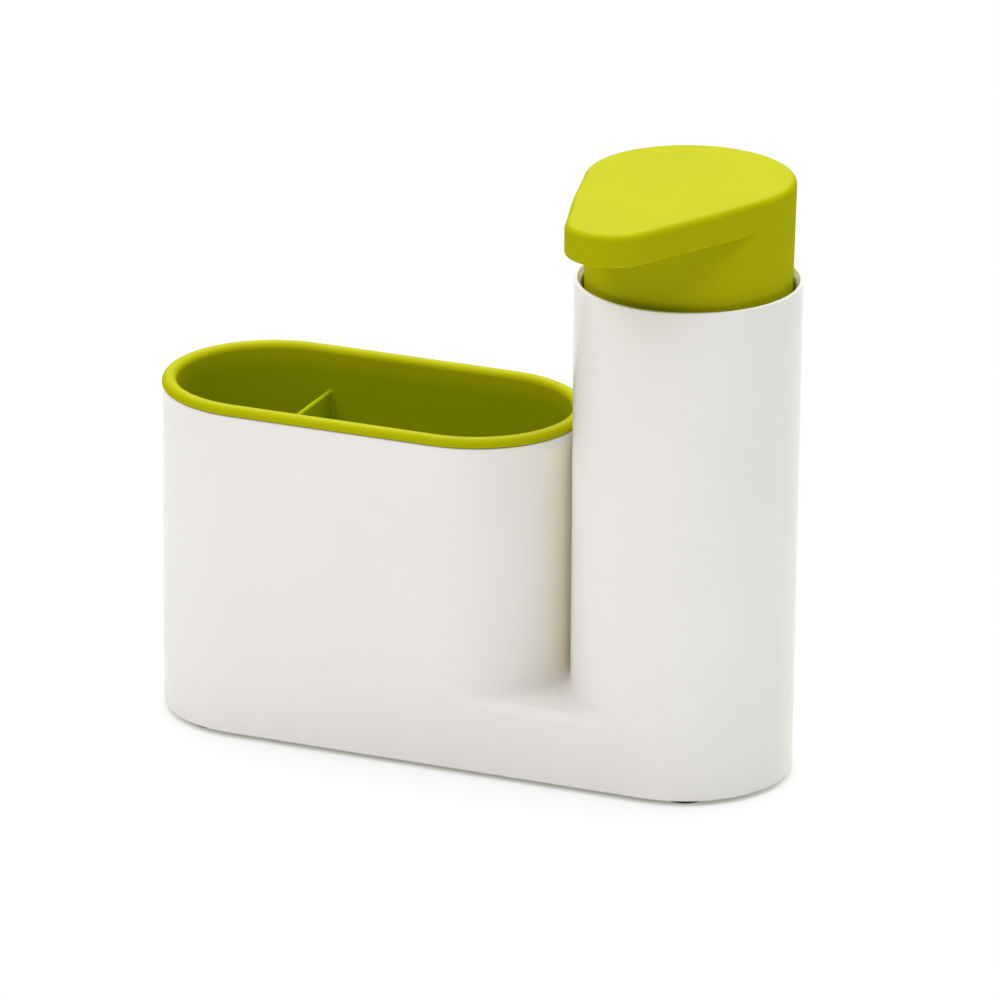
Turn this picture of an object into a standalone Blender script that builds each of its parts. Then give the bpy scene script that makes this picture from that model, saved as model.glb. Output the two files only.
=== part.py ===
"""Sink caddy: a white moulded body with a green brush pot in one end and a soap pump in the other.

+X runs along the body from the brush pot to the soap tower, the spout points towards -Y, +Z is up,
and z = 0 is the surface that the rubber feet stand on. Lengths are in metres. Heights in the
functions are measured from the lower edge of the body.
"""

import math

import bmesh
import bpy

# Body shell
BODY_RADIUS = 0.0330
HOLDER_SPAN = 0.0645
SLIT_WIDTH = 0.0011
HOLDER_RIM_HEIGHT = 0.0998
TOWER_RIM_HEIGHT = 0.1507
TOWER_FLARE = 0.00035
TOWER_FLARE_START = 0.0040
SHELF_HEIGHT = 0.0224
SHELF_FILLET = 0.0040
SHELF_EDGE_ROUND = 0.0030
LOWER_EDGE_ROUND = 0.0005
WALL = 0.0020
TOWER_RIM_LAND = 0.0009
TOWER_RIM_BEVEL_DEPTH = 0.0015
DECK_HEIGHT = 0.0125
DECK_THICKNESS = 0.0020

# Clearances
SEAT_GAP = 0.0003
SLIDE_GAP = 0.00015
OVERRUN = 0.0005

# Base plate, feet and screws
FOOT_PROUD = 0.0017
FOOT_RADIUS = 0.0057
FOOT_EDGE_ROUND = 0.0004
FOOT_WALL_CLEARANCE = 0.0004
FOOT_DIRECTION = math.radians(66.1)
FOOT_RECESS_DEPTH = 0.0010
PLATE_SETBACK = 0.0006
PLATE_THICKNESS = 0.0024
CUP_WALL = 0.0009
CUP_RISE = 0.0016
SCREW_HEAD_RADIUS = 0.0028
SCREW_HEAD_THICKNESS = 0.0010
SCREW_HEAD_POCKET = 0.0013
SCREW_SOCKET_RADIUS = 0.0011
SCREW_SOCKET_DEPTH = 0.0005
SCREW_RADIUS = 0.0012
SCREW_LENGTH = 0.0060
SCREW_TIP = 0.0012
BOSS_WALL = 0.0025

# Brush pot
POT_CLEARANCE = 0.0005
POT_WALL = 0.0016
POT_TAPER = 0.0006
POT_FLOOR = 0.0018
POT_FLOOR_GAP = 0.0005
POT_CORNER_ROUND = 0.0030
LIP_OVERHANG = 0.0003
LIP_HEIGHT = 0.0030
DIVIDER_OFFSET = 0.0056
DIVIDER_DROP = 0.0103
DIVIDER_THICKNESS = 0.0016

# Soap bottle
BOTTLE_CLEARANCE = 0.0006
BOTTLE_WALL = 0.0012
BOTTLE_CORNER_ROUND = 0.0030
SHOULDER_RISE = 0.0115
NECK_RADIUS = 0.0169
NECK_HEIGHT = 0.0165
NECK_DROP = 0.0122
NECK_WALL = 0.0016

# Screw thread of neck and collar
THREAD_LEAD = 0.0030
THREAD_TURNS = 1.5
THREAD_HEIGHT = 0.0011
THREAD_WIDTH = 0.0012
THREAD_ROOT_CLEARANCE = 0.0004
THREAD_SINK = 0.0004
THREAD_START = 0.0050
THREAD_CREST_SHARE = 0.6

# Collar, gasket, barrel and guide of the pump
COLLAR_WALL = 0.0036
COLLAR_RIB = 0.0005
COLLAR_DROP = 0.0165
COLLAR_TOP = 0.0018
GASKET_THICKNESS = 0.0010
FLANGE_THICKNESS = 0.0012
FLANGE_SETBACK = 0.0004
BARREL_RADIUS = 0.0074
BARREL_WALL = 0.0012
GUIDE_HUB_RADIUS = 0.0106
GUIDE_HUB_HEIGHT = 0.0045
GUIDE_CROWN_RADIUS = 0.0064
GUIDE_CROWN_RISE = 0.0032
GUIDE_PLUG_LENGTH = 0.0060

# Stem, piston, rod and spring
PUMP_STROKE = 0.0150
STROKE_MARGIN = 0.0007
STEM_RADIUS = 0.0040
STEM_BORE = 0.0017
STEM_SOCKET_BORE = 0.0026
STEM_SOCKET_DEPTH = 0.0127
STEM_TAIL = 0.0006
PISTON_LENGTH = 0.0064
PISTON_GAP = 0.0002
PISTON_LAND = 0.0012
PISTON_WAIST = 0.0010
ROD_WALL = 0.0010
ROD_DISC_RADIUS = 0.0058
ROD_DISC_THICKNESS = 0.0020
SPRING_LENGTH = 0.0224
SPRING_RADIUS = 0.0049
SPRING_WIRE_RADIUS = 0.00035
SPRING_TURNS = 6
SPRING_END_SHARE = 0.55

# Valve balls, their seats and the dip tube
INLET_BALL_RADIUS = 0.0028
INLET_CAGE_RADIUS = 0.0039
INLET_CAGE_DEPTH = 0.0050
INLET_HOLE_RADIUS = 0.0019
INLET_HOLE_LENGTH = 0.0010
OUTLET_BALL_RADIUS = 0.0024
OUTLET_CAGE_RADIUS = 0.0029
OUTLET_CAGE_DEPTH = 0.0053
BALL_GAP = 0.0001
TAIL_LENGTH = 0.0100
TAIL_WALL = 0.0012
TUBE_RADIUS = 0.0027
TUBE_WALL = 0.0009
TUBE_FLOOR_GAP = 0.0015

# Pump head, spout tube and wing cover
SKIRT_CLEARANCE = 0.0012
HEAD_FLARE = 0.0012
SKIRT_ENGAGEMENT = 0.0102
WING_CLEARANCE = 0.0213
WING_THICKNESS = 0.0092
WING_REACH = 0.0503
WING_TIP_RADIUS = 0.0120
HEAD_TOP_ROUND = 0.0022
HEAD_WALL = 0.0020
COVER_THICKNESS = 0.0018
COVER_SETBACK = 0.0002
DUCT_WIDTH = 0.0074
DUCT_BORE = 0.0030
RISER_RADIUS = 0.0022
SOCKET_WALL = 0.0021
NOZZLE_RADIUS = 0.0032
NOZZLE_BORE_RADIUS = 0.0017
NOZZLE_PROUD = 0.0017
SPOUT_ANGLE = math.radians(-6.3)

# Smoothness: steps around a half turn, a full turn of a small piece, and along a small rounding
HALF_TURN_STEPS = 24
SMALL_TURN_STEPS = 24
ROUND_STEPS = 3
TIP_STEPS = 14
FINE_STEPS = 8
SHOULDER_STEPS = 5
COIL_STEPS = 10
RIB_STEPS = 72
RIB_POINT_GROUP = 2
SHELF_SHARES = (0.0, 0.02, 0.08, 0.18, 0.36, 0.66, 1.0)
POCKET_SHARES = (0.36, 0.5, 0.64, 0.78, 0.9)
CREASE_ANGLE = math.radians(35.0)

# Colours, as linear red, green and blue
WARM_WHITE = (0.79, 0.77, 0.71)
LIME_GREEN = (0.56, 0.60, 0.035)
MILKY_WHITE = (0.72, 0.74, 0.72)
NATURAL_PLASTIC = (0.66, 0.66, 0.62)
DARK_RUBBER = (0.03, 0.03, 0.032)
STEEL = (0.55, 0.56, 0.57)
GREY_SEAL = (0.32, 0.33, 0.34)
GLASS_BALL = (0.62, 0.72, 0.68)

# Places that follow from the sizes
FULL_TURN = 2 * math.pi
QUARTER_TURN = math.pi / 2
WELL_RADIUS = BODY_RADIUS - WALL
TOWER_OFFSET = HOLDER_SPAN + 2 * BODY_RADIUS + SLIT_WIDTH
LEFT_X = -TOWER_OFFSET / 2
HOLDER_X = LEFT_X + HOLDER_SPAN
TOWER_X = TOWER_OFFSET / 2
SKIRT_RADIUS = WELL_RADIUS - SKIRT_CLEARANCE
SKIRT_BOTTOM = TOWER_RIM_HEIGHT - SKIRT_ENGAGEMENT
WING_BOTTOM = TOWER_RIM_HEIGHT + WING_CLEARANCE
HEAD_TOP = WING_BOTTOM + WING_THICKNESS
BOTTLE_RADIUS = WELL_RADIUS - BOTTLE_CLEARANCE
BOTTLE_BOTTOM = DECK_HEIGHT + SEAT_GAP
NECK_TOP = TOWER_RIM_HEIGHT - NECK_DROP
NECK_BOTTOM = NECK_TOP - NECK_HEIGHT
GASKET_BOTTOM = NECK_TOP + SEAT_GAP
FLANGE_BOTTOM = GASKET_BOTTOM + GASKET_THICKNESS + SEAT_GAP
GUIDE_SEAT = FLANGE_BOTTOM + FLANGE_THICKNESS + SEAT_GAP
GUIDE_TOP = GUIDE_SEAT + GUIDE_HUB_HEIGHT + GUIDE_CROWN_RISE
PISTON_TOP = GUIDE_SEAT - GUIDE_PLUG_LENGTH - SEAT_GAP
PISTON_BOTTOM = PISTON_TOP - PISTON_LENGTH
STEM_BOTTOM = PISTON_BOTTOM - STEM_TAIL
ROD_DISC_TOP = STEM_BOTTOM - SEAT_GAP
ROD_DISC_BOTTOM = ROD_DISC_TOP - ROD_DISC_THICKNESS
SPRING_TOP = ROD_DISC_BOTTOM - SEAT_GAP
SPRING_BOTTOM = SPRING_TOP - SPRING_LENGTH
SPRING_SEAT = SPRING_BOTTOM - SEAT_GAP
INLET_CONE_TOP = SPRING_SEAT - INLET_CAGE_DEPTH
INLET_CONE_BOTTOM = INLET_CONE_TOP - (INLET_CAGE_RADIUS - INLET_HOLE_RADIUS)
TAIL_TOP = INLET_CONE_BOTTOM - INLET_HOLE_LENGTH
TUBE_TOP = TAIL_TOP - SEAT_GAP
TUBE_BOTTOM = BOTTLE_BOTTOM + BOTTLE_WALL + TUBE_FLOOR_GAP
DUCT_BOTTOM = WING_BOTTOM + COVER_SETBACK + COVER_THICKNESS + SEAT_GAP
DUCT_TOP = HEAD_TOP - HEAD_WALL - SEAT_GAP
DUCT_MIDDLE = (DUCT_BOTTOM + DUCT_TOP) / 2
SOCKET_BOTTOM = GUIDE_TOP + PUMP_STROKE + STROKE_MARGIN
STEM_TOP = DUCT_MIDDLE - DUCT_BORE / 2 - ROD_WALL
OUTLET_CONE_TOP = STEM_TOP - OUTLET_CAGE_DEPTH
OUTLET_CONE_BOTTOM = OUTLET_CONE_TOP - (OUTLET_CAGE_RADIUS - STEM_BORE)
SPOUT_REACH = WING_REACH * math.cos(SPOUT_ANGLE) + WING_TIP_RADIUS
BODY_BACK = BODY_RADIUS + TOWER_FLARE
BODY_Y = (SPOUT_REACH - BODY_BACK) / 2


def clear_scene():
    """Start from an empty scene."""
    for old in list(bpy.data.objects):
        bpy.data.objects.remove(old, do_unlink=True)


def plastic(name, colour, roughness, metallic=0.0):
    """A plain material of one colour."""
    made = bpy.data.materials.new(name)
    made.use_nodes = True
    shader = made.node_tree.nodes["Principled BSDF"]
    shader.inputs["Base Color"].default_value = (*colour, 1.0)
    shader.inputs["Roughness"].default_value = roughness
    shader.inputs["Metallic"].default_value = metallic
    made.diffuse_color = (*colour, 1.0)
    return made


def axis_empty(name, place, parent=None, turn=0.0):
    """An empty that carries the pieces of one axis."""
    made = bpy.data.objects.new(name, None)
    made.location = place
    made.rotation_euler = (0.0, 0.0, turn)
    made.parent = parent
    bpy.context.collection.objects.link(made)
    return made


def piece_from(bm, name, material, parent, height=0.0, x=0.0, y=0.0):
    """Finish a mesh as one named object, standing at its own height on its parent."""
    bmesh.ops.recalc_face_normals(bm, faces=bm.faces)
    mesh = bpy.data.meshes.new(name)
    bm.to_mesh(mesh)
    bm.free()
    mesh.shade_smooth()
    mesh.set_sharp_from_angle(angle=CREASE_ANGLE)
    made = bpy.data.objects.new(name, mesh)
    bpy.context.collection.objects.link(made)
    made.location = (x, y, height)
    made.parent = parent
    if material is not None:
        mesh.materials.append(material)
    return made


def tool_from(bm, name, parent, height=0.0, x=0.0, y=0.0):
    """Finish a mesh as a hidden tool for a Boolean."""
    made = piece_from(bm, name, None, parent, height, x, y)
    made.hide_render = True
    made.display_type = "WIRE"
    return made


def combine(target, tool, operation):
    """Cut a tool out of a piece, or join the two."""
    step = target.modifiers.new(tool.name, "BOOLEAN")
    step.operation = operation
    step.solver = "EXACT"
    step.object = tool


def arc_points(centre_x, radius, start, sweep, steps):
    """Points (x, y) on an arc about a centre on the X axis."""
    angles = [start + sweep * step / steps for step in range(steps + 1)]
    return [(centre_x + radius * math.cos(a), radius * math.sin(a)) for a in angles]


def add_ring(bm, points, height):
    """One ring of vertices at one height."""
    return [bm.verts.new((x, y, height)) for x, y in points]


def bridge(bm, lower, upper):
    """A closed band of faces between two rings of as many vertices."""
    count = len(lower)
    for index in range(count):
        after = (index + 1) % count
        bm.faces.new((lower[index], lower[after], upper[after], upper[index]))


def stack_rings(bm, rings, capped=True):
    """Bands between rings that follow each other, closed by a flat face at each end."""
    for lower, upper in zip(rings, rings[1:]):
        bridge(bm, lower, upper)
    if capped:
        bm.faces.new(rings[0])
        bm.faces.new(rings[-1])


def rounding(centre_r, centre_z, radius, start, sweep, steps=ROUND_STEPS):
    """Points (radius, height) of a rounded corner in a turned profile."""
    angles = [start + sweep * step / steps for step in range(steps + 1)]
    return [(centre_r + radius * math.cos(a), centre_z + radius * math.sin(a)) for a in angles]


def turned_mesh(profile, steps, looped):
    """Turn a profile about Z. Entries are radius, height and, where it is ribbed, the rib's height.

    A looped profile closes on itself round a bore. The other kind is closed by flat faces, or by
    a pole where its first or last radius is zero.
    """
    bm = bmesh.new()
    rings = []
    for entry in profile:
        radius, height = entry[:2]
        rib = entry[2] if len(entry) > 2 else 0.0
        if radius == 0.0:
            rings.append(bm.verts.new((0.0, 0.0, height)))
            continue
        ring = []
        for step in range(steps):
            angle = FULL_TURN * step / steps
            raised = step // RIB_POINT_GROUP % 2
            reach = radius + rib * raised
            ring.append(bm.verts.new((reach * math.cos(angle), reach * math.sin(angle), height)))
        rings.append(ring)
    pairs = list(zip(rings, rings[1:]))
    if looped:
        pairs.append((rings[-1], rings[0]))
    for lower, upper in pairs:
        if isinstance(lower, list) and isinstance(upper, list):
            bridge(bm, lower, upper)
            continue
        pole, ring = (upper, lower) if isinstance(lower, list) else (lower, upper)
        for step in range(steps):
            bm.faces.new((pole, ring[step], ring[(step + 1) % steps]))
    if not looped:
        for end in (rings[0], rings[-1]):
            if isinstance(end, list):
                bm.faces.new(end)
    return bm


def prism_mesh(points, bottom, top):
    """A straight prism on an outline."""
    bm = bmesh.new()
    stack_rings(bm, [add_ring(bm, points, bottom), add_ring(bm, points, top)])
    return bm


def box_points(x_low, x_high, y_low, y_high):
    """The outline of a rectangle."""
    return [(x_low, y_low), (x_high, y_low), (x_high, y_high), (x_low, y_high)]


def stadium_points(left, right, radius):
    """The outline of a slot with two rounded ends, anticlockwise from its left end's back."""
    west = arc_points(left, radius, QUARTER_TURN, math.pi, HALF_TURN_STEPS)
    east = arc_points(right, radius, -QUARTER_TURN, math.pi, HALF_TURN_STEPS)
    return west + east


def shelf_columns(y):
    """Places along x, and distances from the nearer column's wall, across the shelf at one y."""
    middle = TOWER_OFFSET / 2 - HOLDER_SPAN / 2
    widest = math.hypot(middle, y) - BODY_RADIUS
    from_holder = []
    from_tower = []
    for share in SHELF_SHARES:
        away = widest * share
        reach = math.sqrt((BODY_RADIUS + away) ** 2 - y ** 2)
        from_holder.append((HOLDER_X + reach, away))
        from_tower.append((TOWER_X - reach, away))
    return from_holder + from_tower[-2::-1]


def round_drop(distance, radius):
    """How far a rounding of this radius lies off its flat, at a distance from its end."""
    if distance >= radius:
        return 0.0
    return radius - math.sqrt(radius ** 2 - (radius - distance) ** 2)


def shelf_height(y, away):
    """Height of the shelf: filleted up to the two columns, rounded down to the outer face."""
    rise = round_drop(away, SHELF_FILLET)
    drop = round_drop(BODY_RADIUS - abs(y), SHELF_EDGE_ROUND)
    return SHELF_HEIGHT + rise - drop


def base_outline(inset):
    """The body's whole outline, with the shelf's columns on its two long sides."""
    radius = BODY_RADIUS - inset
    columns = [x for x, away in shelf_columns(BODY_RADIUS)]
    west = arc_points(LEFT_X, radius, QUARTER_TURN, math.pi, HALF_TURN_STEPS)
    front = [(x, -radius) for x in columns[:-1]]
    east = arc_points(TOWER_X, radius, -QUARTER_TURN, math.pi, HALF_TURN_STEPS)
    back = [(x, radius) for x in columns[-2::-1]]
    return west + front + east + back


def shelf_grid(bm):
    """Vertices of the shelf between the holder and the tower, by rows from front to back."""
    rows = []
    for step in range(HALF_TURN_STEPS + 1):
        y = BODY_RADIUS * math.sin(-QUARTER_TURN + math.pi * step / HALF_TURN_STEPS)
        row = [bm.verts.new((x, y, shelf_height(y, away))) for x, away in shelf_columns(y)]
        rows.append(row)
    for near, far in zip(rows, rows[1:]):
        for column in range(len(near) - 1):
            bm.faces.new((near[column], near[column + 1], far[column + 1], far[column]))
    return rows


def holder_walls(bm, foot, rows):
    """The brush holder's outer wall, rim and well."""
    west = HALF_TURN_STEPS + 1
    rim = add_ring(bm, stadium_points(LEFT_X, HOLDER_X, BODY_RADIUS), HOLDER_RIM_HEIGHT)
    inner = stadium_points(LEFT_X, HOLDER_X, WELL_RADIUS)
    well = [rim, add_ring(bm, inner, HOLDER_RIM_HEIGHT), add_ring(bm, inner, DECK_HEIGHT)]
    stack_rings(bm, well, capped=False)
    bm.faces.new(well[-1])
    for step in range(west - 1):
        bm.faces.new((foot[step], foot[step + 1], rim[step + 1], rim[step]))
        bm.faces.new((rows[step][0], rows[step + 1][0], rim[west + step + 1], rim[west + step]))
    bm.faces.new((foot[west - 1], foot[west], rows[0][0], rim[west], rim[west - 1]))
    bm.faces.new((foot[-1], foot[0], rim[0], rim[-1], rows[-1][0]))


def tower_walls(bm, foot, rows):
    """The soap tower's outer wall, bevelled rim and well."""
    steps = HALF_TURN_STEPS
    east = steps + 1 + len(rows[0]) - 1

    def circle(radius, height):
        points = arc_points(TOWER_X, radius, -QUARTER_TURN, FULL_TURN, 2 * steps)[:-1]
        return add_ring(bm, points, height)

    rim_radius = BODY_RADIUS + TOWER_FLARE
    start = circle(BODY_RADIUS, SHELF_HEIGHT + SHELF_FILLET + TOWER_FLARE_START)
    rings = [
        start,
        circle(rim_radius, TOWER_RIM_HEIGHT),
        circle(rim_radius - TOWER_RIM_LAND, TOWER_RIM_HEIGHT),
        circle(rim_radius - WALL, TOWER_RIM_HEIGHT - TOWER_RIM_BEVEL_DEPTH),
        circle(WELL_RADIUS, DECK_HEIGHT),
    ]
    stack_rings(bm, rings, capped=False)
    bm.faces.new(rings[-1])
    for step in range(steps):
        corners = [foot[east + step], foot[east + step + 1], start[step + 1], start[step]]
        if step == 0:
            corners.append(rows[0][-1])
        if step == steps - 1:
            corners.insert(2, rows[-1][-1])
        bm.faces.new(corners)
        lower = rows[step][-1]
        further = rows[step + 1][-1]
        turn = 2 * steps
        bm.faces.new((lower, further, start[turn - step - 1], start[(turn - step) % turn]))


def shelf_fronts(bm, foot, rows):
    """The flat faces under the shelf, at the front and at the back."""
    columns = len(rows[0])
    front = HALF_TURN_STEPS + 1
    back = front + columns - 1 + HALF_TURN_STEPS
    for column in range(columns - 1):
        low = foot[front + column]
        bm.faces.new((low, foot[front + column + 1], rows[0][column + 1], rows[0][column]))
        low = foot[back + column]
        high = rows[-1][columns - 1 - column]
        bm.faces.new((low, foot[back + column + 1], rows[-1][columns - 2 - column], high))


def shelf_pocket(name, parent, side):
    """The hollow under the shelf, on one side of the slit, as a cutter."""
    depths = [BODY_RADIUS * share for share in POCKET_SHARES] + [WELL_RADIUS]
    reaches = [math.sqrt(BODY_RADIUS ** 2 - depth ** 2) for depth in depths]
    holder_side = [(HOLDER_X + reach, side * depth) for depth, reach in zip(depths, reaches)]
    tower_side = [(TOWER_X - reach, side * depth) for depth, reach in zip(depths, reaches)]
    outline = holder_side + tower_side[::-1]
    bottom = DECK_HEIGHT - DECK_THICKNESS - OVERRUN
    return tool_from(prism_mesh(outline, bottom, SHELF_HEIGHT - WALL), name, parent)


def foot_places():
    """Centres of the four feet, screws and bosses, each cup a clearance inside the wall."""
    reach = WELL_RADIUS - FOOT_WALL_CLEARANCE - CUP_WALL - SEAT_GAP - FOOT_RADIUS
    across = reach * math.sin(FOOT_DIRECTION)
    along = TOWER_X + reach * math.cos(FOOT_DIRECTION)
    return [(x, y) for x in (-along, along) for y in (-across, across)]


def make_body_shell(parent, material):
    """The white moulding: holder, tower, shelf between them, inner floor and screw bosses."""
    bm = bmesh.new()
    under = DECK_HEIGHT - DECK_THICKNESS
    rows = shelf_grid(bm)
    foot = add_ring(bm, base_outline(0.0), LOWER_EDGE_ROUND)
    inner = base_outline(WALL)
    below = [
        foot,
        add_ring(bm, base_outline(LOWER_EDGE_ROUND), 0.0),
        add_ring(bm, inner, 0.0),
        add_ring(bm, inner, under),
    ]
    stack_rings(bm, below, capped=False)
    bm.faces.new(below[-1])
    holder_walls(bm, foot, rows)
    tower_walls(bm, foot, rows)
    shelf_fronts(bm, foot, rows)
    shell = piece_from(bm, "body_shell", material, parent)
    for name, side in (("front_pocket", -1), ("back_pocket", 1)):
        combine(shell, shelf_pocket(name, parent, side), "DIFFERENCE")
    bore = SCREW_RADIUS + SEAT_GAP
    foot_of_boss = PLATE_SETBACK + PLATE_THICKNESS + CUP_RISE + SEAT_GAP
    profile = [
        (bore, foot_of_boss),
        (bore + BOSS_WALL, foot_of_boss),
        (bore + BOSS_WALL, under + OVERRUN),
        (bore, under + OVERRUN),
    ]
    for number, (x, y) in enumerate(foot_places(), start=1):
        boss = turned_mesh(profile, SMALL_TURN_STEPS, looped=True)
        combine(shell, tool_from(boss, f"boss_{number}", parent, x=x, y=y), "UNION")
    return shell


def make_base_plate(parent, material):
    """The plate that closes the body from below, with a cup over each foot."""
    radius = WELL_RADIUS - SEAT_GAP
    outline = stadium_points(LEFT_X, TOWER_X, radius)
    plate = piece_from(
        prism_mesh(outline, 0.0, PLATE_THICKNESS), "base_plate", material, parent, PLATE_SETBACK
    )
    recess = FOOT_RADIUS + SEAT_GAP
    head_hole = SCREW_HEAD_RADIUS + SEAT_GAP
    head_roof = FOOT_RECESS_DEPTH + SCREW_HEAD_POCKET
    shank_hole = SCREW_RADIUS + SEAT_GAP
    top = PLATE_THICKNESS + CUP_RISE
    cup = [
        (0.0, PLATE_THICKNESS - OVERRUN),
        (recess + CUP_WALL, PLATE_THICKNESS - OVERRUN),
        (recess + CUP_WALL, top),
        (0.0, top),
    ]
    hollow = [
        (0.0, -OVERRUN),
        (recess, -OVERRUN),
        (recess, FOOT_RECESS_DEPTH),
        (head_hole, FOOT_RECESS_DEPTH),
        (head_hole, head_roof),
        (shank_hole, head_roof),
        (shank_hole, top + OVERRUN),
        (0.0, top + OVERRUN),
    ]
    for number, (x, y) in enumerate(foot_places(), start=1):
        raised = turned_mesh(cup, SMALL_TURN_STEPS, looped=False)
        rise = tool_from(raised, f"cup_{number}", parent, PLATE_SETBACK, x, y)
        combine(plate, rise, "UNION")
        hole = turned_mesh(hollow, SMALL_TURN_STEPS, looped=False)
        sink = tool_from(hole, f"cup_hollow_{number}", parent, PLATE_SETBACK, x, y)
        combine(plate, sink, "DIFFERENCE")
    return plate


def make_feet(parent, material):
    """Four round rubber feet, let into the base plate."""
    top = PLATE_SETBACK + FOOT_RECESS_DEPTH - SEAT_GAP
    profile = [
        (0.0, 0.0),
        *rounding(FOOT_RADIUS - FOOT_EDGE_ROUND, FOOT_EDGE_ROUND, FOOT_EDGE_ROUND,
                  -QUARTER_TURN, QUARTER_TURN),
        (FOOT_RADIUS, FOOT_PROUD + top),
        (0.0, FOOT_PROUD + top),
    ]
    for number, (x, y) in enumerate(foot_places(), start=1):
        bm = turned_mesh(profile, SMALL_TURN_STEPS, looped=False)
        piece_from(bm, f"rubber_foot_{number}", material, parent, -FOOT_PROUD, x, y)


def make_screws(parent, material):
    """Four pan-headed screws, up through the base plate into the bosses."""
    seat = PLATE_SETBACK + FOOT_RECESS_DEPTH + SCREW_HEAD_POCKET - SEAT_GAP
    profile = [
        (0.0, SCREW_SOCKET_DEPTH),
        (SCREW_SOCKET_RADIUS, SCREW_SOCKET_DEPTH),
        (SCREW_SOCKET_RADIUS, 0.0),
        (SCREW_HEAD_RADIUS, 0.0),
        (SCREW_HEAD_RADIUS, SCREW_HEAD_THICKNESS),
        (SCREW_RADIUS, SCREW_HEAD_THICKNESS),
        (SCREW_RADIUS, SCREW_HEAD_THICKNESS + SCREW_LENGTH - SCREW_TIP),
        (0.0, SCREW_HEAD_THICKNESS + SCREW_LENGTH),
    ]
    for number, (x, y) in enumerate(foot_places(), start=1):
        bm = turned_mesh(profile, SMALL_TURN_STEPS // 2, looped=False)
        height = seat - SCREW_HEAD_THICKNESS
        piece_from(bm, f"base_screw_{number}", material, parent, height, x, y)


def pot_profile():
    """Outline of the pot's wall, (radius, height) from its outer floor over the lip and down."""
    outer = WELL_RADIUS - POT_CLEARANCE
    inner = outer - POT_WALL
    bottom = DECK_HEIGHT + POT_FLOOR_GAP
    under_lip = HOLDER_RIM_HEIGHT + SEAT_GAP
    lip_outer = BODY_RADIUS + LIP_OVERHANG
    lip_round = (lip_outer - inner) / 2
    lip_middle = HOLDER_RIM_HEIGHT + LIP_HEIGHT - lip_round
    outer_foot = outer - POT_TAPER
    inner_foot = inner - POT_TAPER
    floor = bottom + POT_FLOOR
    inner_round = POT_CORNER_ROUND - POT_WALL
    return [
        *rounding(outer_foot - POT_CORNER_ROUND, bottom + POT_CORNER_ROUND, POT_CORNER_ROUND,
                  -QUARTER_TURN, QUARTER_TURN),
        (outer, under_lip),
        (lip_outer, under_lip),
        *rounding(lip_outer - lip_round, lip_middle, lip_round, 0.0, math.pi, FINE_STEPS),
        *rounding(inner_foot - inner_round, floor + inner_round, inner_round,
                  0.0, -QUARTER_TURN),
    ]


def make_brush_pot(parent, material):
    """The green liner of the holder, with its divider."""
    bm = bmesh.new()
    left = -HOLDER_SPAN / 2
    rings = []
    for radius, height in pot_profile():
        points = stadium_points(left, -left, radius)
        rings.append(add_ring(bm, points, height))
    stack_rings(bm, rings)
    pot = piece_from(bm, "brush_pot", material, parent)
    half_depth = WELL_RADIUS - POT_CLEARANCE - POT_TAPER - POT_WALL / 4
    middle = left + DIVIDER_OFFSET
    half = DIVIDER_THICKNESS / 2
    outline = box_points(middle - half, middle + half, -half_depth, half_depth)
    bottom = DECK_HEIGHT + POT_FLOOR_GAP + POT_FLOOR / 2
    wall = prism_mesh(outline, bottom, HOLDER_RIM_HEIGHT - DIVIDER_DROP)
    combine(pot, tool_from(wall, "divider_wall", parent), "UNION")
    return pot


def thread_ridge(root, crest, base_height, name, parent):
    """A helical ridge from a root radius to a crest radius, as a Boolean tool."""
    bm = bmesh.new()
    half = THREAD_WIDTH / 2
    tip = half * THREAD_CREST_SHARE
    section = [(root, -half), (crest, -tip), (crest, tip), (root, half)]
    steps = round(THREAD_TURNS * SMALL_TURN_STEPS)
    rings = []
    for step in range(steps + 1):
        angle = FULL_TURN * step / SMALL_TURN_STEPS
        rise = base_height + THREAD_LEAD * step / SMALL_TURN_STEPS
        ring = [
            bm.verts.new((radius * math.cos(angle), radius * math.sin(angle), rise + offset))
            for radius, offset in section
        ]
        rings.append(ring)
    stack_rings(bm, rings)
    return tool_from(bm, name, parent)


def make_soap_bottle(parent, material):
    """The bottle in the tower: straight wall, rounded shoulder and threaded neck."""
    wall = BOTTLE_WALL
    shoulder = NECK_BOTTOM - SHOULDER_RISE - BOTTLE_BOTTOM
    neck_foot = NECK_BOTTOM - BOTTLE_BOTTOM
    neck_top = NECK_TOP - BOTTLE_BOTTOM
    corner = BOTTLE_CORNER_ROUND
    neck_bore = NECK_RADIUS - NECK_WALL

    def shoulder_points(start, inset):
        across = BOTTLE_RADIUS - inset - start
        angles = [QUARTER_TURN * step / SHOULDER_STEPS for step in range(SHOULDER_STEPS)]
        return [
            (start + across * math.cos(a), shoulder + (SHOULDER_RISE - inset) * math.sin(a))
            for a in angles
        ]

    outside = shoulder_points(NECK_RADIUS, 0.0) + [(NECK_RADIUS, neck_foot)]
    inside = shoulder_points(neck_bore, wall) + [(neck_bore, neck_foot - wall)]
    profile = [
        *rounding(BOTTLE_RADIUS - corner, corner, corner, -QUARTER_TURN, QUARTER_TURN),
        *outside,
        (NECK_RADIUS, neck_top),
        (neck_bore, neck_top),
        *inside[::-1],
        *rounding(BOTTLE_RADIUS - corner, corner, corner - wall, 0.0, -QUARTER_TURN),
    ]
    bm = turned_mesh(profile, 2 * HALF_TURN_STEPS, looped=False)
    bottle = piece_from(bm, "soap_bottle", material, parent, BOTTLE_BOTTOM)
    ridge = thread_ridge(
        NECK_RADIUS - THREAD_SINK, NECK_RADIUS + THREAD_HEIGHT, NECK_BOTTOM + THREAD_START,
        "neck_thread", parent,
    )
    combine(bottle, ridge, "UNION")
    return bottle


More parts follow.
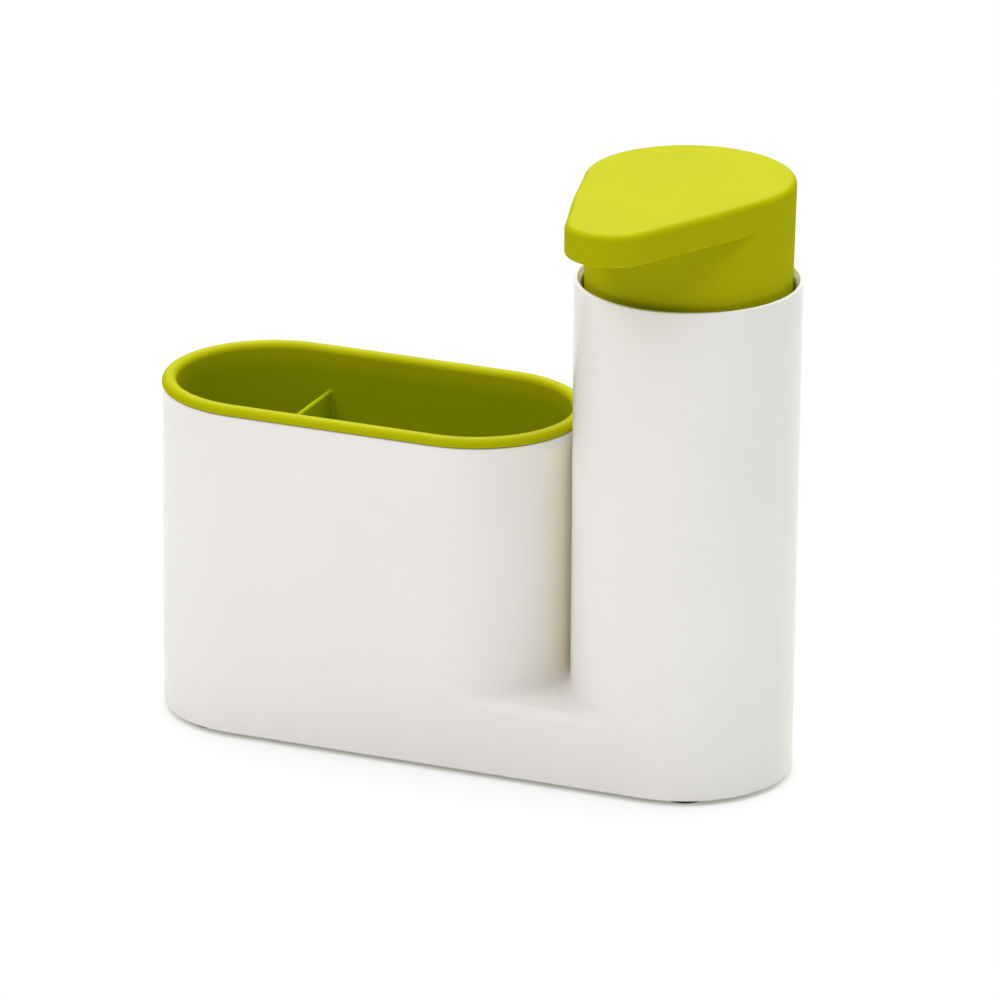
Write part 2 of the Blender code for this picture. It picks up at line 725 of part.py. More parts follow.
def make_pump_collar(parent, material):
    """The ribbed screw collar that clamps the pump to the neck."""
    bore = NECK_RADIUS + THREAD_HEIGHT + THREAD_ROOT_CLEARANCE
    outer = bore + COLLAR_WALL
    hole = GUIDE_HUB_RADIUS + SEAT_GAP
    bottom = -COLLAR_DROP
    profile = [
        (bore, bottom),
        (outer, bottom, COLLAR_RIB),
        (outer, 0.0, COLLAR_RIB),
        (outer - COLLAR_TOP, COLLAR_TOP),
        (hole, COLLAR_TOP),
        (hole, 0.0),
        (bore, 0.0),
    ]
    bm = turned_mesh(profile, RIB_STEPS, looped=True)
    collar = piece_from(bm, "pump_collar", material, parent, GUIDE_SEAT)
    ridge = thread_ridge(
        bore + THREAD_SINK, bore - THREAD_HEIGHT, NECK_BOTTOM + THREAD_START + THREAD_LEAD / 2,
        "collar_thread", parent,
    )
    combine(collar, ridge, "UNION")
    return collar


def make_neck_gasket(parent, material):
    """The flat sealing ring on top of the neck."""
    bore = BARREL_RADIUS + BARREL_WALL + SEAT_GAP
    profile = [
        (bore, 0.0),
        (NECK_RADIUS, 0.0),
        (NECK_RADIUS, GASKET_THICKNESS),
        (bore, GASKET_THICKNESS),
    ]
    bm = turned_mesh(profile, 2 * HALF_TURN_STEPS, looped=True)
    return piece_from(bm, "neck_gasket", material, parent, GASKET_BOTTOM)


def make_pump_housing(parent, material):
    """The pump's barrel, from its flange down to the tail that holds the dip tube."""
    outer = BARREL_RADIUS + BARREL_WALL
    cage_outer = INLET_CAGE_RADIUS + BARREL_WALL
    tail_bore = TUBE_RADIUS + SLIDE_GAP
    tail_outer = tail_bore + TAIL_WALL
    top = GUIDE_SEAT - SEAT_GAP
    tail_bottom = TAIL_TOP - TAIL_LENGTH
    heights = [
        (tail_bore, tail_bottom),
        (tail_outer, tail_bottom),
        (tail_outer, TAIL_TOP),
        (cage_outer, TAIL_TOP + BARREL_WALL),
        (cage_outer, SPRING_SEAT - 2 * BARREL_WALL),
        (outer, SPRING_SEAT - BARREL_WALL),
        (outer, FLANGE_BOTTOM),
        (NECK_RADIUS - FLANGE_SETBACK, FLANGE_BOTTOM),
        (NECK_RADIUS - FLANGE_SETBACK, top),
        (BARREL_RADIUS, top),
        (BARREL_RADIUS, SPRING_SEAT),
        (INLET_CAGE_RADIUS, SPRING_SEAT),
        (INLET_CAGE_RADIUS, INLET_CONE_TOP),
        (INLET_HOLE_RADIUS, INLET_CONE_BOTTOM),
        (INLET_HOLE_RADIUS, TAIL_TOP),
        (tail_bore, TAIL_TOP),
    ]
    profile = [(radius, height - FLANGE_BOTTOM) for radius, height in heights]
    bm = turned_mesh(profile, SMALL_TURN_STEPS, looped=True)
    return piece_from(bm, "pump_housing", material, parent, FLANGE_BOTTOM)


def make_stem_guide(parent, material):
    """The bush in the barrel's mouth, with a hub that stands up through the collar."""
    bore = STEM_RADIUS + SLIDE_GAP
    plug = BARREL_RADIUS - PISTON_GAP
    profile = [
        (bore, -GUIDE_PLUG_LENGTH),
        (plug, -GUIDE_PLUG_LENGTH),
        (plug, 0.0),
        (GUIDE_HUB_RADIUS, 0.0),
        (GUIDE_HUB_RADIUS, GUIDE_HUB_HEIGHT),
        (GUIDE_CROWN_RADIUS, GUIDE_HUB_HEIGHT + GUIDE_CROWN_RISE),
        (bore, GUIDE_HUB_HEIGHT + GUIDE_CROWN_RISE),
    ]
    bm = turned_mesh(profile, SMALL_TURN_STEPS, looped=True)
    return piece_from(bm, "stem_guide", material, parent, GUIDE_SEAT)


def make_pump_stem(parent, material):
    """The hollow stem: a socket for the rod below, the outlet valve's seat and cage above."""
    heights = [
        (STEM_SOCKET_BORE, STEM_BOTTOM),
        (STEM_RADIUS, STEM_BOTTOM),
        (STEM_RADIUS, STEM_TOP),
        (OUTLET_CAGE_RADIUS, STEM_TOP),
        (OUTLET_CAGE_RADIUS, OUTLET_CONE_TOP),
        (STEM_BORE, OUTLET_CONE_BOTTOM),
        (STEM_BORE, STEM_BOTTOM + STEM_SOCKET_DEPTH),
        (STEM_SOCKET_BORE, STEM_BOTTOM + STEM_SOCKET_DEPTH),
    ]
    profile = [(radius, height - STEM_BOTTOM) for radius, height in heights]
    bm = turned_mesh(profile, SMALL_TURN_STEPS, looped=True)
    return piece_from(bm, "pump_stem", material, parent, STEM_BOTTOM)


def make_pump_piston(parent, material):
    """The seal ring on the stem, with a lip at each end and a waist between."""
    bore = STEM_RADIUS + SLIDE_GAP
    outer = BARREL_RADIUS - PISTON_GAP
    profile = [
        (bore, 0.0),
        (outer, 0.0),
        (outer, PISTON_LAND),
        (outer - PISTON_WAIST, PISTON_LAND + PISTON_WAIST),
        (outer - PISTON_WAIST, PISTON_LENGTH - PISTON_LAND - PISTON_WAIST),
        (outer, PISTON_LENGTH - PISTON_LAND),
        (outer, PISTON_LENGTH),
        (bore, PISTON_LENGTH),
    ]
    bm = turned_mesh(profile, SMALL_TURN_STEPS, looped=True)
    return piece_from(bm, "pump_piston", material, parent, PISTON_BOTTOM)


def make_valve_rod(parent, material):
    """The ported tube in the stem's foot, on the disc that the spring pushes."""
    outer = STEM_SOCKET_BORE - PISTON_GAP
    bore = outer - ROD_WALL
    top = ROD_DISC_THICKNESS + STEM_SOCKET_DEPTH - SEAT_GAP
    profile = [
        (0.0, 0.0),
        (ROD_DISC_RADIUS, 0.0),
        (ROD_DISC_RADIUS, ROD_DISC_THICKNESS),
        (outer, ROD_DISC_THICKNESS),
        (outer, top),
        (bore, top),
        (bore, ROD_DISC_THICKNESS),
        (0.0, ROD_DISC_THICKNESS),
    ]
    bm = turned_mesh(profile, SMALL_TURN_STEPS, looped=False)
    return piece_from(bm, "valve_rod", material, parent, ROD_DISC_BOTTOM)


def make_return_spring(parent, material):
    """The coil between the barrel's seat and the rod's disc, wound closer at its two ends."""
    low = SPRING_WIRE_RADIUS
    travel = SPRING_LENGTH - 2 * SPRING_WIRE_RADIUS
    count = SPRING_TURNS * COIL_STEPS
    curve = bpy.data.curves.new("return_spring", "CURVE")
    curve.dimensions = "3D"
    curve.bevel_depth = SPRING_WIRE_RADIUS
    curve.bevel_resolution = 1
    curve.use_fill_caps = True
    spline = curve.splines.new("POLY")
    spline.points.add(count)
    for step in range(count + 1):
        share = step / count
        angle = FULL_TURN * step / COIL_STEPS
        eased = share - SPRING_END_SHARE * math.sin(FULL_TURN * share) / FULL_TURN
        place = (SPRING_RADIUS * math.cos(angle), SPRING_RADIUS * math.sin(angle))
        spline.points[step].co = (*place, low + travel * eased, 1.0)
    made = bpy.data.objects.new("return_spring", curve)
    curve.materials.append(material)
    made.location = (0.0, 0.0, SPRING_BOTTOM)
    made.parent = parent
    bpy.context.collection.objects.link(made)
    return made


def make_ball(name, radius, cone_hole, cone_bottom, parent, material):
    """A valve ball on a seat that opens at forty-five degrees."""
    middle = cone_bottom + math.sqrt(2) * (radius + BALL_GAP) - cone_hole
    angles = [-QUARTER_TURN + math.pi * step / FINE_STEPS for step in range(1, FINE_STEPS)]
    profile = [
        (0.0, -radius),
        *((radius * math.cos(a), radius * math.sin(a)) for a in angles),
        (0.0, radius),
    ]
    bm = turned_mesh(profile, SMALL_TURN_STEPS // 2, looped=False)
    return piece_from(bm, name, material, parent, middle)


def make_dip_tube(parent, material):
    """The suction tube, from the barrel's tail down to the bottle's floor."""
    length = TUBE_TOP - TUBE_BOTTOM
    bore = TUBE_RADIUS - TUBE_WALL
    profile = [(bore, 0.0), (TUBE_RADIUS, 0.0), (TUBE_RADIUS, length), (bore, length)]
    bm = turned_mesh(profile, SMALL_TURN_STEPS, looped=True)
    return piece_from(bm, "dip_tube", material, parent, TUBE_BOTTOM)


def head_radius(height):
    """Radius of the pump head's round side, which widens towards its top."""
    share = (height - SKIRT_BOTTOM) / (HEAD_TOP - SKIRT_BOTTOM)
    return SKIRT_RADIUS + HEAD_FLARE * share


def tangent_angle(radius):
    """Angle from the wing's direction to where its straight sides leave the round part."""
    return math.acos((radius - WING_TIP_RADIUS) / WING_REACH)


def tip_points(radius, tangent):
    """The wing's round tip, from its left side to its right side."""
    start = -QUARTER_TURN - tangent
    angles = [start + 2 * tangent * step / TIP_STEPS for step in range(TIP_STEPS + 1)]
    return [(radius * math.cos(a), radius * math.sin(a) - WING_REACH) for a in angles]


def round_points(radius, tangent):
    """The head's round back, from the wing's right side to its left side."""
    start = tangent - QUARTER_TURN
    sweep = FULL_TURN - 2 * tangent
    return arc_points(0.0, radius, start, sweep, 2 * HALF_TURN_STEPS - TIP_STEPS)


def front_points(radius, tangent):
    """The part of the head's circle that faces the wing, from left to right."""
    start = -QUARTER_TURN - tangent
    return arc_points(0.0, radius, start, 2 * tangent, TIP_STEPS)


def wing_pocket_points(inset, skirt):
    """Outline of the hollow in the wing: inside its walls, and outside the skirt."""
    radius = head_radius(WING_BOTTOM)
    tangent = tangent_angle(radius)
    meeting = tangent - math.acos((radius - inset) / skirt)
    arc = front_points(skirt, meeting)
    return tip_points(WING_TIP_RADIUS - inset, tangent) + arc[::-1]


def make_pump_head(parent, material):
    """The green cap: round skirt below, teardrop wing above, hollow from below."""
    bm = bmesh.new()
    tops = []
    for step in range(ROUND_STEPS + 1):
        angle = QUARTER_TURN * step / ROUND_STEPS
        inset = HEAD_TOP_ROUND * (1 - math.sin(angle))
        height = HEAD_TOP - HEAD_TOP_ROUND * (1 - math.cos(angle))
        tops.append((inset, height))
    tops.append((0.0, WING_BOTTOM))
    rings = []
    for inset, height in tops:
        radius = head_radius(height)
        tangent = tangent_angle(radius)
        outline = round_points(radius - inset, tangent)
        outline += tip_points(WING_TIP_RADIUS - inset, tangent)
        rings.append(add_ring(bm, outline, height))
    stack_rings(bm, rings, capped=False)
    bm.faces.new(rings[0])
    radius = head_radius(WING_BOTTOM)
    tangent = tangent_angle(radius)
    shared = rings[-1][: -TIP_STEPS - 1]
    tip = rings[-1][-TIP_STEPS - 1:]
    front = add_ring(bm, front_points(radius, tangent)[1:-1], WING_BOTTOM)
    bm.faces.new([shared[-1], *tip, shared[0], *front[::-1]])
    low_radius = head_radius(SKIRT_BOTTOM)
    low = round_points(low_radius, tangent) + front_points(low_radius, tangent)[1:-1]
    skirt = [shared + front, add_ring(bm, low, SKIRT_BOTTOM)]
    stack_rings(bm, skirt, capped=False)
    bm.faces.new(skirt[-1])
    head = piece_from(bm, "pump_head", material, parent)

    ceiling = HEAD_TOP - HEAD_WALL
    bore = [
        (0.0, SKIRT_BOTTOM - OVERRUN),
        (head_radius(SKIRT_BOTTOM) - HEAD_WALL, SKIRT_BOTTOM - OVERRUN),
        (head_radius(ceiling) - HEAD_WALL, ceiling),
        (0.0, ceiling),
    ]
    hollow = turned_mesh(bore, 2 * HALF_TURN_STEPS, looped=False)
    combine(head, tool_from(hollow, "skirt_bore", parent), "DIFFERENCE")
    outline = wing_pocket_points(HEAD_WALL, radius)
    pocket = prism_mesh(outline, WING_BOTTOM - OVERRUN, ceiling)
    combine(head, tool_from(pocket, "wing_pocket", parent), "DIFFERENCE")
    half = DUCT_WIDTH / 2 + SEAT_GAP
    slot = box_points(-half, half, -radius - OVERRUN, -radius + 2 * HEAD_WALL)
    window = prism_mesh(slot, DUCT_BOTTOM - SEAT_GAP, ceiling)
    combine(head, tool_from(window, "duct_window", parent), "DIFFERENCE")
    return head


def round_bar(radius, bottom, top, name, parent, y=0.0):
    """An upright round Boolean tool."""
    profile = [(0.0, bottom), (radius, bottom), (radius, top), (0.0, top)]
    bm = turned_mesh(profile, SMALL_TURN_STEPS, looped=False)
    return tool_from(bm, name, parent, y=y)


def make_spout_tube(parent, material):
    """The soap channel: a socket on the stem, a level duct, and the nozzle at the wing's tip."""
    socket_bore = STEM_RADIUS + SLIDE_GAP
    socket_outer = socket_bore + SOCKET_WALL
    profile = [
        (0.0, SOCKET_BOTTOM),
        (socket_outer, SOCKET_BOTTOM),
        (socket_outer, DUCT_TOP - SEAT_GAP),
        (0.0, DUCT_TOP - SEAT_GAP),
    ]
    bm = turned_mesh(profile, SMALL_TURN_STEPS, looped=False)
    spout = piece_from(bm, "spout_tube", material, parent)
    half = DUCT_WIDTH / 2
    outline = box_points(-half, half, -WING_REACH - half, STEM_RADIUS)
    duct = prism_mesh(outline, DUCT_BOTTOM, DUCT_TOP)
    combine(spout, tool_from(duct, "duct_bar", parent), "UNION")
    tip = WING_BOTTOM - NOZZLE_PROUD
    nozzle = round_bar(NOZZLE_RADIUS, tip, DUCT_TOP - SEAT_GAP, "nozzle_bar", parent, -WING_REACH)
    combine(spout, nozzle, "UNION")
    side = DUCT_BORE / 2
    outline = box_points(-side, side, -WING_REACH - side / 2, side / 2)
    channel = prism_mesh(outline, DUCT_MIDDLE - side, DUCT_MIDDLE + side)
    stem_seat = STEM_TOP + SEAT_GAP
    bores = (
        tool_from(channel, "duct_bore", parent),
        round_bar(socket_bore, SOCKET_BOTTOM - OVERRUN, stem_seat, "stem_bore", parent),
        round_bar(RISER_RADIUS, stem_seat - OVERRUN, DUCT_MIDDLE, "riser_bore", parent),
        round_bar(NOZZLE_BORE_RADIUS, tip - OVERRUN, DUCT_MIDDLE, "nozzle_bore", parent, -WING_REACH),
    )
    for tool in bores:
        combine(spout, tool, "DIFFERENCE")
    return spout


def make_wing_cover(parent, material):
    """The plate that closes the wing's hollow from below, round the nozzle."""
    skirt = head_radius(WING_BOTTOM) + SEAT_GAP
    outline = wing_pocket_points(HEAD_WALL + SEAT_GAP, skirt)
    bottom = WING_BOTTOM + COVER_SETBACK
    bm = prism_mesh(outline, 0.0, COVER_THICKNESS)
    cover = piece_from(bm, "wing_cover", material, parent, bottom)
    top = bottom + COVER_THICKNESS + OVERRUN
    hole = round_bar(NOZZLE_RADIUS + SEAT_GAP, bottom - OVERRUN, top, "nozzle_hole", parent, -WING_REACH)
    combine(cover, hole, "DIFFERENCE")
    return cover


def build_caddy():
    """Make every piece on its own axis."""
    clear_scene()
    white = plastic("gloss_white_plastic", WARM_WHITE, 0.25)
    lime = plastic("satin_lime_plastic", LIME_GREEN, 0.38)
    milky = plastic("milky_bottle_plastic", MILKY_WHITE, 0.35)
    natural = plastic("natural_pump_plastic", NATURAL_PLASTIC, 0.40)
    rubber = plastic("dark_rubber", DARK_RUBBER, 0.80)
    seal = plastic("grey_seal_rubber", GREY_SEAL, 0.65)
    steel = plastic("stainless_steel", STEEL, 0.30, 1.0)
    glass = plastic("glass_ball", GLASS_BALL, 0.10)

    body = axis_empty("body_frame", (0.0, BODY_Y, FOOT_PROUD))
    pot_axis = axis_empty("pot_axis", ((LEFT_X + HOLDER_X) / 2, 0.0, 0.0), body)
    tower_axis = axis_empty("tower_axis", (TOWER_X, 0.0, 0.0), body)
    head_turn = axis_empty("head_turn", (0.0, 0.0, 0.0), tower_axis, SPOUT_ANGLE)

    make_body_shell(body, white)
    make_base_plate(body, white)
    make_feet(body, rubber)
    make_screws(body, steel)
    make_brush_pot(pot_axis, lime)
    make_soap_bottle(tower_axis, milky)
    make_neck_gasket(tower_axis, seal)
    make_pump_collar(tower_axis, natural)
    make_pump_housing(tower_axis, natural)
    make_stem_guide(tower_axis, natural)
    make_pump_stem(tower_axis, natural)
    make_pump_piston(tower_axis, seal)
    make_valve_rod(tower_axis, natural)
    make_return_spring(tower_axis, steel)
    make_ball("inlet_ball", INLET_BALL_RADIUS, INLET_HOLE_RADIUS, INLET_CONE_BOTTOM, tower_axis, glass)
    make_ball("outlet_ball", OUTLET_BALL_RADIUS, STEM_BORE, OUTLET_CONE_BOTTOM, tower_axis, glass)
    make_dip_tube(tower_axis, natural)
    make_pump_head(head_turn, lime)
    make_spout_tube(head_turn, natural)
    make_wing_cover(head_turn, lime)


build_caddy()
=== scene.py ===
"""Looks of the sink caddy: a white body, a lime pot for brushes and a soap pump with a lime head.

Laid out as a Blender add-on and run as a script. Lengths are in metres. The shapes are worked out
in the body's own frame, whose z = 0 is the body's lower edge and whose y = 0 is the body's middle,
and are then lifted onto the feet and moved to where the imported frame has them.
"""

import math

import bmesh
import bpy
import numpy as np
from mathutils import Matrix, Vector


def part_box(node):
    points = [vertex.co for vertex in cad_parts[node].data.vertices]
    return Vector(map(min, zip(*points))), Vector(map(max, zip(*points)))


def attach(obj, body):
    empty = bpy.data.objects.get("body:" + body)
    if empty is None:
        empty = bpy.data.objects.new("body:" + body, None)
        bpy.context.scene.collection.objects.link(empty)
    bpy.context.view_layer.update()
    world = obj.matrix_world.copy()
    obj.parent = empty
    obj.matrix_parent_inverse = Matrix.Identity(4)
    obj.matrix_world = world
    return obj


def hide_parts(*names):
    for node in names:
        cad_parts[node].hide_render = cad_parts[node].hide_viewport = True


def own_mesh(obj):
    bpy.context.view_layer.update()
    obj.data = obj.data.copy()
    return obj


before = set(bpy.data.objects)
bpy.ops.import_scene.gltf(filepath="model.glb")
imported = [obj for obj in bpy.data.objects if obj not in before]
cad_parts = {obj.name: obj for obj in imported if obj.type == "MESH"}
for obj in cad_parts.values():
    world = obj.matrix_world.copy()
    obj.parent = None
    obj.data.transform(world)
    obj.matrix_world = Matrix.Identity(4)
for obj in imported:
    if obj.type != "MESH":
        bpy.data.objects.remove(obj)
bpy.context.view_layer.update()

bl_info = {
    "name": "Sink Caddy",
    "version": (1, 0, 0),
    "blender": (4, 5, 0),
    "location": "3D View > Sidebar > Sink Caddy",
    "description": "Builds the surfaces, finishes and studio of a sink caddy",
    "category": "Object",
}

QUARTER = math.pi / 2
FULL = 2 * math.pi
WHITE = (1.0, 1.0, 1.0)

# Points closer than this are welded, and edges sharper than this stay sharp
WELD = 1e-6
CREASE = math.radians(38.0)
LEAST = 1e-9

# Small roundings and gaps, and how far patches and ribs reach into their neighbours
HAIR = 0.0001
FINE = 0.0002
SMALL = 0.0003
SOFT = 0.0004
EASY = 0.0005
BROAD = 0.0008
SUNK = 0.0004

# How finely the shapes are divided
TURN_STEPS = 96
END_STEPS = 96
FRONT_STEPS = 25
SHELF_STEPS = 20
BAND_STEPS = 10
BACK_STEPS = 120
TIP_STEPS = 48
FLANK_STEPS = 36
SPRING_STEPS = 48
WIRE_STEPS = 12

# Shares of a length: held flat beside a corner, flat on the shelf and the divider, first cover row
HOLD_SHARE = 0.3
SHELF_FLAT_SHARE = 0.4
DIVIDER_FLAT = 0.9
COVER_ROW = 0.4

# Thread, collar and spring
THREAD_TURNS = 1.5
THREAD_RAMP = 0.12
THREAD_CREST = 0.6
COLLAR_ROWS = (0.002, 0.001)
COLLAR_RIBS = 18
RIB_SHIFT = 0.35
RIB_ENDS = (0.0013, 0.0003)
RIB_RAMP = 0.0007
SPRING_TURNS = 6
SPRING_END_SHARE = 0.55

# Where the shading's noises and masks begin and end
PATCH_DETAIL = 3.0
GRAIN_DETAIL = 2.0
HAIRLINE_DETAIL = 4.0
HAIRLINE_FULL = 0.8
MOTTLE_RANGE = (0.3, 0.7)
GLOSS_RANGE = (0.25, 0.75)
COAT_FACING = (0.7, 1.0)
SHELF_SHADE_FACING = (0.05, 0.75)
SHADE_TOP = (0.004, 0.002)
SHADE_ACROSS = (0.0015, 0.0100)
SHADE_ALONG = (0.006, 0.026)
POT_SHADE_IN = (0.0040, 0.0032)
POT_SHADE_DROP = 0.006

# Floor and camera
FLOOR_ROUGHNESS = 0.9
SPECK_SCALE = 900.0
SPECK_SHARE = 0.985
NEAR_STEP = (-0.0038, 0.0006)
FAR_STEP = (0.002, 0.034)
SENSOR_WIDTH = 36.0
VIEW_LIMIT = 50.0


def length(name, text, value):
    """A length that the user can change."""
    return bpy.props.FloatProperty(
        name=name, description=text, default=value, min=0.0, precision=5,
        subtype="DISTANCE", unit="LENGTH",
    )


def share(name, text, value, top=1.0):
    """A plain number from nothing to its top."""
    return bpy.props.FloatProperty(
        name=name, description=text, default=value, min=0.0, max=top, precision=3,
        subtype="FACTOR",
    )


def angle(name, text, value):
    """An angle that the user can change."""
    return bpy.props.FloatProperty(
        name=name, description=text, default=math.radians(value), precision=4,
        subtype="ANGLE", unit="ROTATION",
    )


def colour(name, text, value):
    """A colour in linear light."""
    return bpy.props.FloatVectorProperty(
        name=name, description=text, default=value, min=0.0, max=1.0, size=3, subtype="COLOR",
    )


def place(name, text, value):
    """A point that the user can move."""
    return bpy.props.FloatVectorProperty(
        name=name, description=text, default=value, size=3, precision=4,
        subtype="TRANSLATION", unit="LENGTH",
    )


class SinkCaddyBody(bpy.types.PropertyGroup):
    """Sizes of the white body and its feet."""

    radius: length("Radius", "Outer radius of the round ends and of the tower", 0.0330)
    span: length("Holder Span", "Between the centres of the holder's two round ends", 0.0645)
    slit: length("Slit", "Narrowest gap between the holder and the tower", 0.0011)
    wall: length("Wall", "Thickness of the body's walls", 0.0020)
    shelf: length("Shelf Height", "Height of the shelf between holder and tower", 0.0224)
    fillet: length("Shelf Fillet", "Rounding where the shelf meets the two columns", 0.0040)
    edge: length("Shelf Edge", "Rounding of the shelf's front and back edges", 0.0030)
    edge_fade: length("Edge Fade", "Distance from a column where the edge is fully round", 0.0045)
    foot_edge: length("Lower Edge", "Rounding of the lowest edge", 0.0005)
    band_start: length("Band Start", "Height where the upright band begins", 0.0016)
    foot_spread: length("Foot Spread", "How much wider a foot's pad is than its CAD radius", 0.0008)
    hollow: length("Hollow", "Depth of the hollow under a foot", 0.0003)
    hollow_radius: length("Hollow Radius", "Radius of the hollow under a foot", 0.0030)
    hollow_slope: length("Hollow Slope", "Width of the slope round that hollow", 0.0004)
    rim_edge: length("Rim Edge", "Rounding of the holder's rim", 0.0004)
    holder_rim: length("Holder Rim", "Height of the holder's rim", 0.0998)
    flare: length("Tower Flare", "How much wider the tower is at its rim", 0.00035)
    rim_land: length("Rim Land", "Flat width of the tower's rim", 0.0009)
    rim_bevel: length("Rim Bevel", "Depth of the bevel inside the tower's rim", 0.0015)
    deck: length("Deck", "Height of the inner floor", 0.0125)
    deck_thickness: length("Deck Thickness", "Thickness of the inner floor", 0.0020)
    well_corner: length("Well Corner", "Rounding between walls and inner floor", 0.0010)
    boss_radius: length("Boss Radius", "Outer radius of a screw boss", 0.0040)
    boss_bore: length("Boss Bore", "Radius of a screw boss's hole", 0.0015)
    boss_height: length("Boss Height", "Height of a screw boss's lower end", 0.0052)
    seat_gap: length("Seat Gap", "Gap between pieces that rest on each other", 0.0003)


class SinkCaddyPot(bpy.types.PropertyGroup):
    """Sizes of the brush pot."""

    clearance: length("Clearance", "Gap between the pot and the well", 0.0005)
    wall: length("Wall", "Thickness of the pot's wall", 0.0016)
    taper: length("Taper", "How much narrower the pot is at its floor", 0.0006)
    floor: length("Floor", "Thickness of the pot's floor", 0.0018)
    corner: length("Corner", "Rounding between wall and floor", 0.0030)
    lip_overhang: length("Lip Overhang", "How far the lip stands out over the holder", 0.0003)
    lip_height: length("Lip Height", "Height of the lip over the holder's rim", 0.0030)
    lip_root: length("Lip Root", "Rounding where the lip leaves the wall", 0.00012)
    lip_edge: length("Lip Edge", "Rounding of the lip's lower edge", 0.00025)
    lip_spare: length("Lip Spare", "Half the flat left on top of the lip", 0.00004)
    divider_offset: length("Divider Offset", "Divider's place from the left end's centre", 0.0056)
    divider_drop: length("Divider Drop", "Divider's top edge under the holder's rim", 0.0103)
    divider_thickness: length("Divider Thickness", "Thickness of the divider", 0.0016)
    divider_fillet: length("Divider Fillet", "Rounding between divider and pot", 0.0010)


class SinkCaddyHead(bpy.types.PropertyGroup):
    """Sizes of the pump's head and spout."""

    skirt_radius: length("Skirt Radius", "Radius of the skirt at its lower end", 0.0302)
    flare: length("Flare", "How much wider the round side is at its top", 0.0008)
    engagement: length("Engagement", "How far the skirt stands in the tower", 0.0102)
    wing_clearance: length("Wing Clearance", "Wing's underside over the tower's rim", 0.0212)
    wing_thickness: length("Wing Thickness", "Thickness of the wing", 0.0099)
    reach: length("Reach", "From the tower's axis to the centre of the wing's tip", 0.0496)
    tip_radius: length("Tip Radius", "Radius of the wing's tip", 0.0135)
    bow: length("Flank Bow", "How far the wing's flanks bulge between back and tip", 0.0005)
    top_round: length("Top Rounding", "Rounding of the upper edge", 0.0023)
    top_land: length("Top Land", "Flat band kept beside the upper edge", 0.0006)
    under_round: length("Under Rounding", "Rounding of the wing's lower edge", 0.0012)
    wall: length("Wall", "Thickness of the head's walls", 0.0020)
    hollow_room: length("Hollow Room", "Least room from skirt to outline for a hollow", 0.0042)
    skirt_start: length("Skirt Start", "Skirt's upper end under the wing", 0.0010)
    skirt_edge: length("Skirt Edge", "Rounding of the skirt's lower end", 0.0005)
    ceiling_corner: length("Ceiling Corner", "Rounding of the inner ceiling", 0.0010)
    cover_setback: length("Cover Setback", "How far the cover lies inside the wing", 0.0002)
    cover_thickness: length("Cover Thickness", "Thickness of the wing's cover", 0.0018)
    cover_gap: length("Cover Gap", "Gap round the cover", 0.0003)
    duct_width: length("Duct Width", "Width of the soap channel", 0.0074)
    duct_floor: length("Duct Floor", "Soap channel's lower side over the wing's", 0.0023)
    socket_wall: length("Socket Wall", "Thickness of the socket on the stem", 0.0021)
    riser_radius: length("Riser Radius", "Radius of the hole up into the channel", 0.0022)
    nozzle_radius: length("Nozzle Radius", "Outer radius of the nozzle", 0.0032)
    nozzle_bore: length("Nozzle Bore", "Radius of the nozzle's hole", 0.0017)
    nozzle_proud: length("Nozzle Proud", "How far the nozzle stands out below", 0.0017)
    turn: angle("Spout Turn", "How far the wing is turned about the tower's axis", -5.4)


